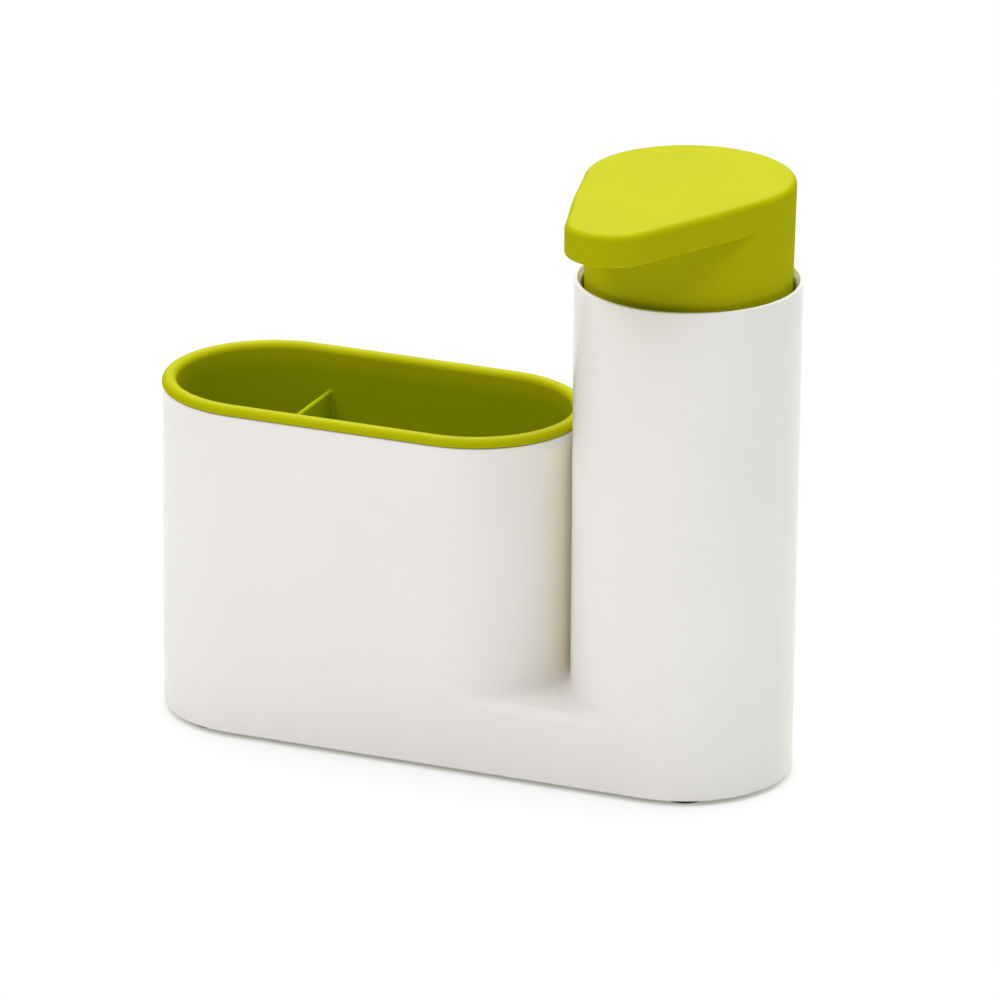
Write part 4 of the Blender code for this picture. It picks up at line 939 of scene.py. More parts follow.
def base_patch(body, left, holder, tower):
    """Underside, lower edge and the band up to the two columns and the shelf.

    A profile from the inner ceiling down round the lower edge, carried round the whole outline,
    then rows shared out between that edge and each column's own height.
    """
    shelf_x, away = shelf_row(body.radius, body, holder, tower)
    between = straight_places(left, holder, FRONT_STEPS)
    front = np.concatenate([between, shelf_x[0]])
    ring = slot_ring(left, tower, front[:-1])
    under = body.deck - body.deck_thickness
    inner = body.radius - body.wall
    path = rounded_path([
        (0.0, under, 0.0), (inner, under, body.well_corner), (inner, 0.0, FINE),
        (body.radius, 0.0, body.foot_edge), (body.radius, body.band_start, 0.0),
    ])
    low = carried(ring, path[:, :1], path[:, 1:])
    foot = body.shelf + body.fillet
    edge = body.shelf + off_edge(away[0], body.fillet) - edge_at(away[0], body)
    along_front = np.concatenate([np.full(len(between), foot), edge])[:-1]
    ends = np.full(END_STEPS + 1, foot)
    tops = np.concatenate([ends, along_front, ends, along_front[::-1]])
    shares = eased(steps_from(BAND_STEPS))[1:, None]
    heights = path[-1, 1] + (tops[None] - path[-1, 1]) * shares
    band = carried(ring, np.full((len(shares), 1), body.radius), heights)
    return weave(np.concatenate([low, band]))


def holder_patch(body, left, holder):
    """The holder's outside, rim, well and inner floor, as one profile round the slot."""
    ring = slot_ring(left, holder, straight_places(left, holder, FRONT_STEPS))
    inner = body.radius - body.wall
    path = rounded_path([
        (body.radius, body.shelf + body.fillet, 0.0), (body.radius, body.holder_rim, body.rim_edge),
        (inner, body.holder_rim, body.rim_edge), (inner, body.deck, body.well_corner),
        (0.0, body.deck, 0.0),
    ])
    return swept(ring, path)


def tower_patch(body, tower, rim):
    """The tower's outside, bevelled rim, well and inner floor, as one profile round its axis."""
    angles = math.pi * steps_from(END_STEPS)
    half = np.column_stack([np.cos(angles - QUARTER), np.sin(angles - QUARTER)])
    ways = np.vstack([half[:-1], -half[:-1]])
    ring = (np.broadcast_to([tower, 0.0], ways.shape), ways)
    top = body.radius + body.flare
    path = rounded_path([
        (body.radius, body.shelf + body.fillet, 0.0), (top, rim, SMALL),
        (top - body.rim_land, rim, SMALL), (top - body.wall, rim - body.rim_bevel, SMALL),
        (body.radius - body.wall, body.deck, body.well_corner), (0.0, body.deck, 0.0),
    ])
    return swept(ring, path)


def shelf_patch(body, holder, tower):
    """The shelf between the columns, rows from front to back.

    Its height is the shelf's, plus the fillet's rise near a column, less the edge's drop near the
    front and the back.
    """
    y = body.radius * np.sin(math.pi * steps_from(END_STEPS) - QUARTER)
    x, away = shelf_row(y, body, holder, tower)
    drop = off_edge(body.radius - np.abs(y)[:, None], edge_at(away, body))
    z = body.shelf + off_edge(away, body.fillet) - drop
    grid = np.stack([x, np.broadcast_to(y[:, None], x.shape), z], axis=2)
    return weave(grid, around=False)


def foot_centres():
    """Middles of the four feet in the body's own frame."""
    shift = places()[0]
    boxes = [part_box(f"rubber_foot_{number}") for number in range(1, 5)]
    return [((low.x + high.x) / 2, (low.y + high.y) / 2 - shift[1]) for low, high in boxes]


def boss_patches(body):
    """Screw bosses under the inner floor, one over each foot."""
    under = body.deck - body.deck_thickness + SUNK
    path = rounded_path([
        (body.boss_bore, body.boss_height, HAIR), (body.boss_radius, body.boss_height, FINE),
        (body.boss_radius, under, 0.0), (body.boss_bore, under, 0.0),
    ], closed=True, steps=3)
    return [swept(round_ring(x, y, steps=48), path, closed=True) for x, y in foot_centres()]


class SINKCADDY_OT_white_body(bpy.types.Operator):
    """Build the white body: base, holder, tower and the shelf between them."""

    bl_idname = "sinkcaddy.white_body"
    bl_label = "White Body"

    def execute(self, context):
        body = context.scene.sink_caddy_body
        _, left, holder, tower = places()
        solid("white_body", [
            base_patch(body, left, holder, tower),
            holder_patch(body, left, holder),
            tower_patch(body, tower, tower_rim()),
            shelf_patch(body, holder, tower),
            *boss_patches(body),
        ], "white", "caddy", "body_shell")
        return {"FINISHED"}


class SINKCADDY_OT_base(bpy.types.Operator):
    """Build the rubber feet, and finish the base plate and its screws."""

    bl_idname = "sinkcaddy.base"
    bl_label = "Base Plate and Feet"

    def execute(self, context):
        body = context.scene.sink_caddy_body
        for number, (x, y) in enumerate(foot_centres(), start=1):
            node = f"rubber_foot_{number}"
            low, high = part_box(node)
            radius = (high.x - low.x) / 2 + body.foot_spread
            bottom, top = levels_of(node)
            ring = body.hollow_radius + body.hollow_slope
            path = rounded_path([
                (0.0, bottom + body.hollow, 0.0), (body.hollow_radius, bottom + body.hollow, HAIR),
                (ring, bottom, HAIR), (radius, bottom, SOFT), (radius, top, FINE), (0.0, top, 0.0),
            ])
            foot = swept(round_ring(x, y, steps=64), path)
            solid(f"foot_pad_{number}", [foot], "rubber", "caddy", node)
            dress(f"base_screw_{number}", "steel")
        dress("base_plate", "white")
        return {"FINISHED"}


class SINKCADDY_OT_brush_pot(bpy.types.Operator):
    """Build the brush pot with its rolled lip, and the divider in it."""

    bl_idname = "sinkcaddy.brush_pot"
    bl_label = "Brush Pot"

    def execute(self, context):
        body = context.scene.sink_caddy_body
        pot = context.scene.sink_caddy_pot
        _, left, holder, _ = places()
        bottom = levels_of("brush_pot")[0]
        floor = bottom + pot.floor
        under_lip = body.holder_rim + body.seat_gap
        outer = body.radius - body.wall - pot.clearance
        inner = outer - pot.wall
        lip = body.radius + pot.lip_overhang
        top = body.holder_rim + pot.lip_height
        roll = (lip - inner) / 2 - pot.lip_spare
        path = rounded_path([
            (0.0, bottom, 0.0), (outer - pot.taper, bottom, pot.corner),
            (outer, under_lip, pot.lip_root), (lip, under_lip, pot.lip_edge), (lip, top, roll),
            (inner, top, roll), (inner - pot.taper, floor, pot.corner - pot.wall),
            (0.0, floor, 0.0),
        ], steps=10)
        ring = slot_ring(left, holder, straight_places(left, holder, FRONT_STEPS))
        solid("pot_liner", [swept(ring, path)], "lime", "pot", "brush_pot")

        middle = left + pot.divider_offset
        crest = body.holder_rim - pot.divider_drop
        divider = divider_patch(pot, middle, floor, crest, inner, top)
        solid("pot_divider", [divider], "lime", "pot")
        return {"FINISHED"}


def divider_patch(pot, middle, floor, crest, inner, lip_top):
    """The divider: a thin wall across the pot, thicker where it meets the walls and the floor.

    Half its thickness is the plain half plus the drop of a round edge at the distance to the wall
    or floor. Rows run across the pot, columns up one side, over the round crest and down the other.
    """
    half = pot.divider_thickness / 2
    fillet = pot.divider_fillet
    up = np.concatenate([
        floor - SUNK + (fillet + SUNK) * steps_from(6),
        floor + fillet + (crest - half - floor - fillet) * steps_from(8)[1:],
    ])
    arc = QUARTER * steps_from(6)[1:]
    side = np.concatenate([np.ones(len(up)), np.cos(arc)])
    rise = np.concatenate([up, crest - half + half * np.sin(arc)])
    side = np.concatenate([side, -side[-2::-1]])
    rise = np.concatenate([rise, rise[-2::-1]])
    lean = inner - pot.taper * (1 - np.clip((rise - floor) / (lip_top - floor), 0.0, 1.0))
    ends = steps_from(8) * fillet / inner
    span = np.concatenate([
        [-1.0], ends - 1, np.linspace(-DIVIDER_FLAT, DIVIDER_FLAT, 13), 1 - ends[::-1], [1.0],
    ])[:, None]
    reach = lean[None] * span + np.sign(span) * SUNK * (np.abs(span) == 1.0)
    from_wall = np.maximum(lean[None] - np.abs(reach), 0.0)
    from_floor = np.maximum(np.broadcast_to(rise[None] - floor, from_wall.shape), 0.0)
    grown = np.maximum(off_edge(from_wall, fillet), off_edge(from_floor, fillet))
    thick = (half + grown) * side[None]
    thick[[0, -1]] = 0.0
    grid = np.stack([middle + thick, reach, np.broadcast_to(rise[None], reach.shape)], axis=2)
    return weave(grid)


def head_levels(head):
    """Heights of skirt bottom, wing bottom, head top, and the radius at any height."""
    rim = tower_rim()
    bottom = rim - head.engagement
    under = rim + head.wing_clearance
    top = under + head.wing_thickness

    def radius(height):
        return head.skirt_radius + head.flare * (height - bottom) / (top - bottom)

    return bottom, under, top, radius


def teardrop(head, radius):
    """Centres, directions and radii round the head's outline, for each of several head radii.

    The round back keeps one centre. Along each flank, centre and radius run evenly from the round
    part to the tip while the direction stays, so the flank touches both circles, and a squared sine
    bows it out between them. The places along it are at even angles about the tower's axis.
    """
    radius = np.atleast_1d(radius)[:, None]
    lean = np.arccos((radius - head.tip_radius) / head.reach)
    start = -QUARTER + lean
    back = start + (FULL - 2 * lean) * steps_from(BACK_STEPS)[None]
    tip = start[:, :1] - 2 * lean + 2 * lean * steps_from(TIP_STEPS)[None]
    side_length = np.sqrt(head.reach ** 2 - (radius - head.tip_radius) ** 2)
    swing = np.arctan(side_length / radius)
    out = radius * np.tan(swing * steps_from(FLANK_STEPS)[None, 1:-1]) / side_length
    away = np.concatenate([np.zeros_like(back), out, np.ones_like(tip), out[:, ::-1]], axis=1)
    left = np.broadcast_to(back[:, -1:], out.shape)
    right = np.broadcast_to(tip[:, -1:], out.shape)
    facing = np.concatenate([back, left, tip, right], axis=1)
    reach = radius + (head.tip_radius - radius) * away + head.bow * np.sin(math.pi * away) ** 2
    return -head.reach * away, facing, reach


def head_grid(head, inset, height, radius):
    """Rows of the outline at given heights, each pulled in by its inset."""
    centre, facing, reach = teardrop(head, radius(height))
    drawn = reach - inset
    return np.stack([
        drawn * np.cos(facing), centre + drawn * np.sin(facing),
        np.broadcast_to(height[:, None], drawn.shape),
    ], axis=2)


def head_top_patch(head, levels):
    """Flat top, rounded upper edge and side, down to where the lower edge starts to round."""
    _, under, top, radius = levels
    centre, facing, reach = teardrop(head, radius(np.array([top])))
    land = head.top_round + head.top_land
    flat = (reach - land) * np.array([0.0, 0.25, 0.5, 0.75, 0.9])[:, None]
    cap = np.stack([
        flat * np.cos(facing), centre + flat * np.sin(facing), np.full(flat.shape, top),
    ], axis=2)
    arc = QUARTER * steps_from(10)
    inset = np.concatenate([[land], head.top_round * (1 - np.sin(arc))])
    height = np.concatenate([[top], top - head.top_round * (1 - np.cos(arc))])
    start = top - head.top_round
    stop = under + head.under_round
    side = start + (stop - start) * np.array([0.1, 0.4, 0.7, 0.9, 1.0])
    inset = np.concatenate([inset, np.zeros(len(side))])[:, None]
    height = np.concatenate([height, side])
    return np.concatenate([cap, head_grid(head, inset, height, radius)])


def plan_rays(head, levels):
    """Directions from the tower's axis to the wing's lower outline, and how far it lies off.

    The third value is the cosine between each direction and the outline's own outward one.
    """
    _, under, _, radius = levels
    centre, facing, reach = teardrop(head, radius(np.array([under])))
    spots = np.vstack([reach * np.cos(facing), centre + reach * np.sin(facing)])
    far = np.hypot(*spots)
    ways = spots / far
    return ways, far, np.cos(facing[0]) * ways[0] + np.sin(facing[0]) * ways[1]


def head_under_patch(head, levels):
    """The wing's underside with its hollow, between the outline and the skirt.

    Each column runs inward along a line to the tower's axis: round the lower edge, across the lip,
    up into the hollow, across its ceiling and down the skirt. Columns on the round back have no
    room between outline and skirt, so there the rows run straight down.
    """
    _, under, top, radius = levels
    ways, far, square_on = plan_rays(head, levels)
    room = np.maximum(far - radius(under), 0.0)
    room[room < WELD / 10] = 0.0
    edge = np.minimum(head.under_round / square_on, room / 4)
    lip = np.minimum(head.wall / square_on, room)
    hollow = (room > head.hollow_room).astype(float)
    lip = np.where(hollow > 0, lip, edge + (room - edge) / 3)
    ceiling = top - head.wall
    arc = QUARTER * steps_from(8)[1:]
    rows = [(edge * (1 - math.cos(a)), under + head.under_round * (1 - math.sin(a)), 1)
            for a in arc]
    rows += [((edge + lip) / 2, under, 1), (lip, under, 1)]
    rows += [(lip, under + SMALL, hollow), (lip, ceiling, hollow), (room, ceiling, hollow)]
    rows += [(room, under, 1)]
    grid = [
        np.vstack([
            ways * (far - drawn), np.broadcast_to(under + (height - under) * rise, far.shape),
        ])
        for drawn, height, rise in rows
    ]
    last = under - head.skirt_start
    grid.append(np.vstack([ways * radius(last), np.full(far.shape, last)]))
    return np.stack(grid).transpose(0, 2, 1), ways


def wing_plate_patch(head, levels):
    """The cover in the wing's hollow, with the nozzle's hole.

    Its outline runs along the hollow's outer wall and back along the skirt. Rows run outward from
    the hole along lines through its centre: across the underside, round the edge and back above.
    """
    _, under, _, radius = levels
    ways, far, square_on = plan_rays(head, levels)
    wide = far - radius(under) > head.hollow_room
    outer = (far - head.wall / square_on - head.cover_gap)[wide]
    ways = ways[:, wide]
    order = np.argsort(np.arctan2(ways[0], -ways[1]))
    ways, outer = ways[:, order], outer[order]
    inner = np.full(len(outer), radius(under) + head.cover_gap)
    outline = np.hstack([ways * outer, ways[:, ::-1] * inner])
    hub = np.array([[0.0], [-head.reach]])
    out = outline - hub
    far_out = np.hypot(*out)
    hole = head.nozzle_radius + head.cover_gap
    low = under + head.cover_setback
    high = low + head.cover_thickness
    rows = [(0.0, 0.0, low), (COVER_ROW, 0.0, low), (1.0, SMALL, low)]
    rows += [(1.0, SMALL * (1 - math.sin(a)), low + SMALL * (1 - math.cos(a)))
             for a in QUARTER * steps_from(4)[1:]]
    rows += [(1.0, 0.0, high), (0.0, 0.0, high)]
    grid = []
    for way_out, inset, height in rows:
        spots = hub + out / far_out * (hole + (far_out - inset - hole) * way_out)
        grid.append(np.column_stack([spots.T, np.full(spots.shape[1], height)]))
    return np.stack(grid)


def head_skirt_patch(head, levels, ways):
    """The skirt below the wing, its lower edge, its bore and the head's inner ceiling."""
    bottom, under, top, radius = levels
    ceiling = top - head.wall
    start = under - head.skirt_start
    path = rounded_path([
        (radius(start), start, 0.0), (radius(bottom), bottom, head.skirt_edge),
        (radius(bottom) - head.wall, bottom, head.skirt_edge),
        (radius(ceiling) - head.wall, ceiling, head.ceiling_corner), (0.0, ceiling, 0.0),
    ])
    ring = (np.zeros((ways.shape[1], 2)), ways.T)
    return carried(ring, path[1:, :1], path[1:, 1:])


def turned_about(points, x, turn):
    """Points turned about the upright axis and moved to their place along x."""
    kept = points.copy()
    kept[..., 0] = x + points[..., 0] * math.cos(turn) - points[..., 1] * math.sin(turn)
    kept[..., 1] = points[..., 0] * math.sin(turn) + points[..., 1] * math.cos(turn)
    return kept


class SINKCADDY_OT_pump_head(bpy.types.Operator):
    """Build the pump's head: round skirt, teardrop wing, its hollow and the cover in it."""

    bl_idname = "sinkcaddy.pump_head"
    bl_label = "Pump Head"

    def execute(self, context):
        head = context.scene.sink_caddy_head
        tower = places()[3]
        levels = head_levels(head)
        under, ways = head_under_patch(head, levels)
        grid = [head_top_patch(head, levels), under, head_skirt_patch(head, levels, ways)]
        cap = weave(turned_about(np.concatenate(grid), tower, head.turn))
        solid("pump_cap", [cap], "lime", "head", "pump_head")
        plate = weave(turned_about(wing_plate_patch(head, levels), tower, head.turn), along=True)
        solid("wing_plate", [plate], "lime", "head", "wing_cover")
        return {"FINISHED"}


class SINKCADDY_OT_spout(bpy.types.Operator):
    """Build the soap channel: socket on the stem, level duct and nozzle."""

    bl_idname = "sinkcaddy.spout"
    bl_label = "Spout"

    def execute(self, context):
        head = context.scene.sink_caddy_head
        pump = context.scene.sink_caddy_pump
        tower = places()[3]
        _, under, top, _ = head_levels(head)
        socket_low = levels_of("spout_tube")[0]
        nozzle_low = under - head.nozzle_proud
        duct_top = top - head.wall - SMALL
        duct_low = under + head.duct_floor
        tube_top = duct_top - SMALL
        bore = pump.stem_radius + pump.slide_gap
        outer = bore + head.socket_wall
        socket = rounded_path([
            (bore, socket_low, FINE), (outer, socket_low, SOFT), (outer, tube_top, SOFT),
            (head.riser_radius, tube_top, 0.0), (head.riser_radius, duct_low + FINE, 0.0),
            (bore, duct_low + HAIR, 0.0),
        ], closed=True)
        nozzle = rounded_path([
            (head.nozzle_bore, nozzle_low, SMALL), (head.nozzle_radius, nozzle_low, EASY),
            (head.nozzle_radius, tube_top, SOFT), (head.nozzle_bore, tube_top, 0.0),
        ], closed=True)
        half = head.duct_width / 2
        section = rounded_path([
            (-half, duct_low, BROAD), (half, duct_low, BROAD), (half, duct_top, BROAD),
            (-half, duct_top, BROAD),
        ], closed=True, steps=5)
        along = np.array([-pump.stem_radius, -pump.stem_radius, -head.reach, -head.reach])
        kept = np.array([0.0, 1.0, 1.0, 0.0])[:, None, None]
        middle = np.array([0.0, (duct_low + duct_top) / 2])
        rows = middle + (section[None] - middle) * kept
        duct = np.stack([
            rows[..., 0], np.broadcast_to(along[:, None], rows.shape[:2]), rows[..., 1],
        ], axis=2)
        patches = [
            swept(round_ring(0.0, steps=64), socket, closed=True),
            swept(round_ring(0.0, -head.reach, steps=64), nozzle, closed=True),
            weave(duct),
        ]
        placed = [(turned_about(points, tower, head.turn), faces) for points, faces in patches]
        solid("spout_channel", placed, "natural", "head", "spout_tube")
        return {"FINISHED"}


def pump_levels(pump):
    """Heights of the neck's ends, the flange and the collar's seat on it, in the body's frame."""
    gap = bpy.context.scene.sink_caddy_body.seat_gap
    neck_top = tower_rim() - pump.neck_drop
    flange = neck_top + pump.gasket_thickness + 2 * gap
    return neck_top - pump.neck_height, neck_top, flange, flange + pump.flange_thickness + gap


class SINKCADDY_OT_soap_bottle(bpy.types.Operator):
    """Build the soap bottle with its shoulder and threaded neck."""

    bl_idname = "sinkcaddy.soap_bottle"
    bl_label = "Soap Bottle"

    def execute(self, context):
        pump = context.scene.sink_caddy_pump
        tower = places()[3]
        neck_bottom, neck_top, _, _ = pump_levels(pump)
        foot = levels_of("soap_bottle")[0]
        spring_line = neck_bottom - pump.shoulder
        radius, neck, wall = pump.bottle_radius, pump.neck_radius, pump.bottle_wall
        bore = neck - pump.neck_wall
        swing = QUARTER * steps_from(20)[:-1]
        outside = np.column_stack([
            neck + (radius - neck) * np.cos(swing), spring_line + pump.shoulder * np.sin(swing),
        ])
        inside = np.column_stack([
            bore + (radius - wall - bore) * np.cos(swing),
            spring_line + (pump.shoulder - wall) * np.sin(swing),
        ])
        blend = spring_line - pump.shoulder_blend
        up = rounded_path([
            (0.0, foot, 0.0), (radius, foot, pump.bottle_corner), (radius, blend, 0.0),
        ])
        throat = rounded_path([
            (neck, neck_bottom, 0.0), (neck, neck_top, SMALL), (bore, neck_top, SMALL),
            (bore, neck_bottom - wall, 0.0),
        ])
        down = rounded_path([
            (radius - wall, blend, 0.0), (radius - wall, foot + wall, pump.bottle_corner - wall),
            (0.0, foot + wall, 0.0),
        ])
        path = np.vstack([up, outside, throat, inside[::-1], down])
        ridge = helix_ridge(
            tower, neck, pump.thread_height, pump, neck_bottom + pump.thread_start,
        )
        shell = swept(round_ring(tower, steps=160), path)
        solid("bottle_shell", [shell, ridge], "milky", "bottle", "soap_bottle")
        return {"FINISHED"}


class SINKCADDY_OT_collar(bpy.types.Operator):
    """Build the ribbed screw collar."""

    bl_idname = "sinkcaddy.collar"
    bl_label = "Pump Collar"

    def execute(self, context):
        pump = context.scene.sink_caddy_pump
        tower = places()[3]
        neck_bottom, _, _, seat = pump_levels(pump)
        low, high = levels_of("pump_collar")
        bore = pump.neck_radius + pump.thread_height + pump.thread_clearance
        outer = bore + pump.collar_wall
        hole = pump.hub_radius + SMALL
        foot = low + pump.collar_land
        path = rounded_path([
            (bore, low, SMALL), (outer, low, SOFT), (outer, foot, 0.0), (outer, seat - SOFT, 0.0),
            (outer - (high - seat), high, BROAD), (hole, high, SMALL), (hole, seat, 0.0),
            (bore, seat, SOFT),
        ], closed=True)
        first = np.flatnonzero(np.isclose(path[:, 0], outer) & (path[:, 1] >= foot - FINE))[0]
        held = np.linspace(low + COLLAR_ROWS[0], seat - COLLAR_ROWS[1], 6)
        path = np.insert(path, first + 1, np.column_stack([np.full(6, outer), held]), axis=0)
        ring = round_ring(tower, steps=432)
        angles = np.arctan2(ring[1][:, 1], ring[1][:, 0])
        ribs = pump.collar_rib * eased((np.cos(COLLAR_RIBS * angles) + RIB_SHIFT) / (2 * RIB_SHIFT))
        tall = eased((path[:, 1] - low - RIB_ENDS[0]) / RIB_RAMP)
        tall = tall * eased((seat - RIB_ENDS[1] - path[:, 1]) / RIB_RAMP)
        tall = tall * np.isclose(path[:, 0], outer)
        reach = path[:, :1] + tall[:, None] * ribs[None]
        shell = weave(carried(ring, reach, path[:, 1:]), along=True)
        start = neck_bottom + pump.thread_start + pump.thread_lead / 2
        ridge = helix_ridge(tower, bore, -pump.thread_height, pump, start)
        solid("collar_ring", [shell, ridge], "natural", "collar", "pump_collar")
        return {"FINISHED"}


class SINKCADDY_OT_pump_body(bpy.types.Operator):
    """Build the pieces that stay with the pump's barrel: gasket, housing, guide and dip tube."""

    bl_idname = "sinkcaddy.pump_body"
    bl_label = "Pump Body"

    def execute(self, context):
        pump = context.scene.sink_caddy_pump
        _, _, flange, seat = pump_levels(pump)
        barrel, neck = pump.barrel_radius, pump.neck_radius
        outer = barrel + pump.barrel_wall
        low, high = levels_of("pump_housing")
        tail_bore = pump.tube_radius + pump.slide_gap
        tail = tail_bore + pump.barrel_wall
        tail_top = low + pump.tail_length
        spring_seat = tail_top + pump.cage_length
        cage = pump.inlet_cage
        rim = neck - pump.flange_setback
        throat = tail_top + pump.inlet_throat
        lathed("barrel", "pump_housing", "natural", "pump", [
            (tail_bore, low, FINE), (tail, low, SMALL), (tail, tail_top, SOFT),
            (cage + pump.barrel_wall, tail_top + pump.barrel_wall, SOFT),
            (cage + pump.barrel_wall, spring_seat - 2 * pump.barrel_wall, SOFT),
            (outer, spring_seat - pump.barrel_wall, EASY), (outer, flange, SOFT),
            (rim, flange, FINE), (rim, high, SMALL), (barrel, high, SMALL),
            (barrel, spring_seat, SMALL), (cage, spring_seat, FINE),
            (cage, throat + pump.inlet_cone, FINE), (pump.inlet_bore, throat, FINE),
            (pump.inlet_bore, tail_top, 0.0), (tail_bore, tail_top, 0.0),
        ], steps=4)

        low, high = levels_of("neck_gasket")
        bore = outer + SMALL
        lathed("neck_seal", "neck_gasket", "seal", "pump", [
            (bore, low, FINE), (neck, low, SMALL), (neck, high, SMALL), (bore, high, FINE),
        ])

        low, high = levels_of("stem_guide")
        bore = pump.stem_radius + pump.slide_gap
        plug = barrel - FINE
        hub = pump.hub_radius
        lathed("guide_bush", "stem_guide", "natural", "pump", [
            (bore, low, FINE), (plug, low, SMALL), (plug, seat, 0.0), (hub, seat, FINE),
            (hub, seat + pump.hub_height, BROAD), (pump.crown_radius, high, BROAD),
            (bore, high, FINE),
        ])

        low, high = levels_of("dip_tube")
        bore = pump.tube_radius - pump.tube_wall
        lathed("suction_tube", "dip_tube", "natural", "pump", [
            (bore, low, HAIR), (pump.tube_radius, low, FINE), (pump.tube_radius, high, FINE),
            (bore, high, HAIR),
        ])
        return {"FINISHED"}


class SINKCADDY_OT_plunger(bpy.types.Operator):
    """Build the pieces that go down with the head: stem, piston and valve rod."""

    bl_idname = "sinkcaddy.plunger"
    bl_label = "Plunger"

    def execute(self, context):
        pump = context.scene.sink_caddy_pump
        stem, socket, cage = pump.stem_radius, pump.stem_socket, pump.outlet_cage
        low, high = levels_of("pump_stem")
        cage_foot = high - pump.outlet_depth
        lathed("stem_tube", "pump_stem", "natural", "plunger", [
            (socket, low, FINE), (stem, low, SMALL), (stem, high, SOFT), (cage, high, FINE),
            (cage, cage_foot, FINE), (pump.stem_bore, cage_foot - pump.outlet_cone, FINE),
            (pump.stem_bore, low + pump.socket_depth, 0.0), (socket, low + pump.socket_depth, 0.0),
        ], steps=4)

        low, high = levels_of("pump_piston")
        bore = stem + pump.slide_gap
        outer = pump.barrel_radius - FINE
        land, waist = pump.piston_land, pump.piston_waist
        lathed("piston_seal", "pump_piston", "seal", "plunger", [
            (bore, low, HAIR), (outer, low, SOFT), (outer, low + land, SMALL),
            (outer - waist, low + land + waist, SOFT), (outer - waist, high - land - waist, SOFT),
            (outer, high - land, SMALL), (outer, high, SOFT), (bore, high, HAIR),
        ], steps=4)

        low, high = levels_of("valve_rod")
        outer = socket - FINE
        disc = low + pump.disc_thickness
        lathed("valve_stalk", "valve_rod", "natural", "plunger", [
            (0.0, low, 0.0), (pump.disc_radius, low, SOFT), (pump.disc_radius, disc, SOFT),
            (outer, disc, SMALL), (outer, high, FINE), (outer - pump.rod_wall, high, FINE),
            (outer - pump.rod_wall, disc, 0.0), (0.0, disc, 0.0),
        ], closed=False, steps=4)
        return {"FINISHED"}


class SINKCADDY_OT_spring(bpy.types.Operator):
    """Build the return spring."""

    bl_idname = "sinkcaddy.spring"
    bl_label = "Return Spring"

    def execute(self, context):
        coil = spring_patch(context.scene.sink_caddy_pump, places()[3], *levels_of("return_spring"))
        made = solid("coil_spring", [coil], "steel", "pump", "return_spring")
        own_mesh(made)
        return {"FINISHED"}


def spring_patch(pump, x, low, high):
    """Round wire along a helix.

    The wire's middle turns evenly and rises slowly at both ends and faster between them. Round it
    lies a circle spanned by the outward direction and the direction square to it and to the wire.
    """
    wire = pump.wire_radius
    shares = steps_from(SPRING_TURNS * SPRING_STEPS)
    spin = FULL * SPRING_TURNS * shares
    slow_ends = SPRING_END_SHARE * np.sin(FULL * shares) / FULL
    outward = np.column_stack([np.cos(spin), np.sin(spin), np.zeros_like(spin)])
    middle = outward * pump.spring_radius
    middle[:, 0] += x
    middle[:, 2] = low + wire + (high - low - 2 * wire) * (shares - slow_ends)
    along = np.gradient(middle, axis=0)
    along /= np.linalg.norm(along, axis=1)[:, None]
    square = np.cross(along, outward)
    square /= np.linalg.norm(square, axis=1)[:, None]
    round_wire = FULL * np.arange(WIRE_STEPS) / WIRE_STEPS
    thick = np.concatenate([[0.0, 0.8], np.ones(len(shares) - 2), [0.8, 0.0]])
    middle, outward, square = (
        np.vstack([rows[:1], rows, rows[-1:]]) for rows in (middle, outward, square)
    )
    spread = outward[:, None] * np.cos(round_wire)[None, :, None]
    spread = spread + square[:, None] * np.sin(round_wire)[None, :, None]
    return weave(middle[:, None] + spread * (wire * thick)[:, None, None])


class SINKCADDY_OT_valve_balls(bpy.types.Operator):
    """Build the two glass valve balls."""

    bl_idname = "sinkcaddy.valve_balls"
    bl_label = "Valve Balls"

    def execute(self, context):
        ring = round_ring(places()[3], steps=48)
        swing = math.pi * steps_from(24) - QUARTER
        for node, body in (("inlet_ball", "inlet_valve"), ("outlet_ball", "outlet_valve")):
            low, high = levels_of(node)
            radius = (high - low) / 2
            path = np.column_stack([
                radius * np.cos(swing), (low + high) / 2 + radius * np.sin(swing),
            ])
            path[[0, -1], 0] = 0.0
            solid(f"{node}_glass", [swept(ring, path)], "glass", body, node)
        return {"FINISHED"}


def background_rays(tree):
    """A mask of the rays that see the white background: straight, mirrored and refracted ones."""
    rays = add_node(tree, "ShaderNodeLightPath").outputs
    bent = combined(tree, "MAXIMUM", rays["Is Glossy Ray"], rays["Is Transmission Ray"])
    return combined(tree, "MAXIMUM", rays["Is Camera Ray"], bent)


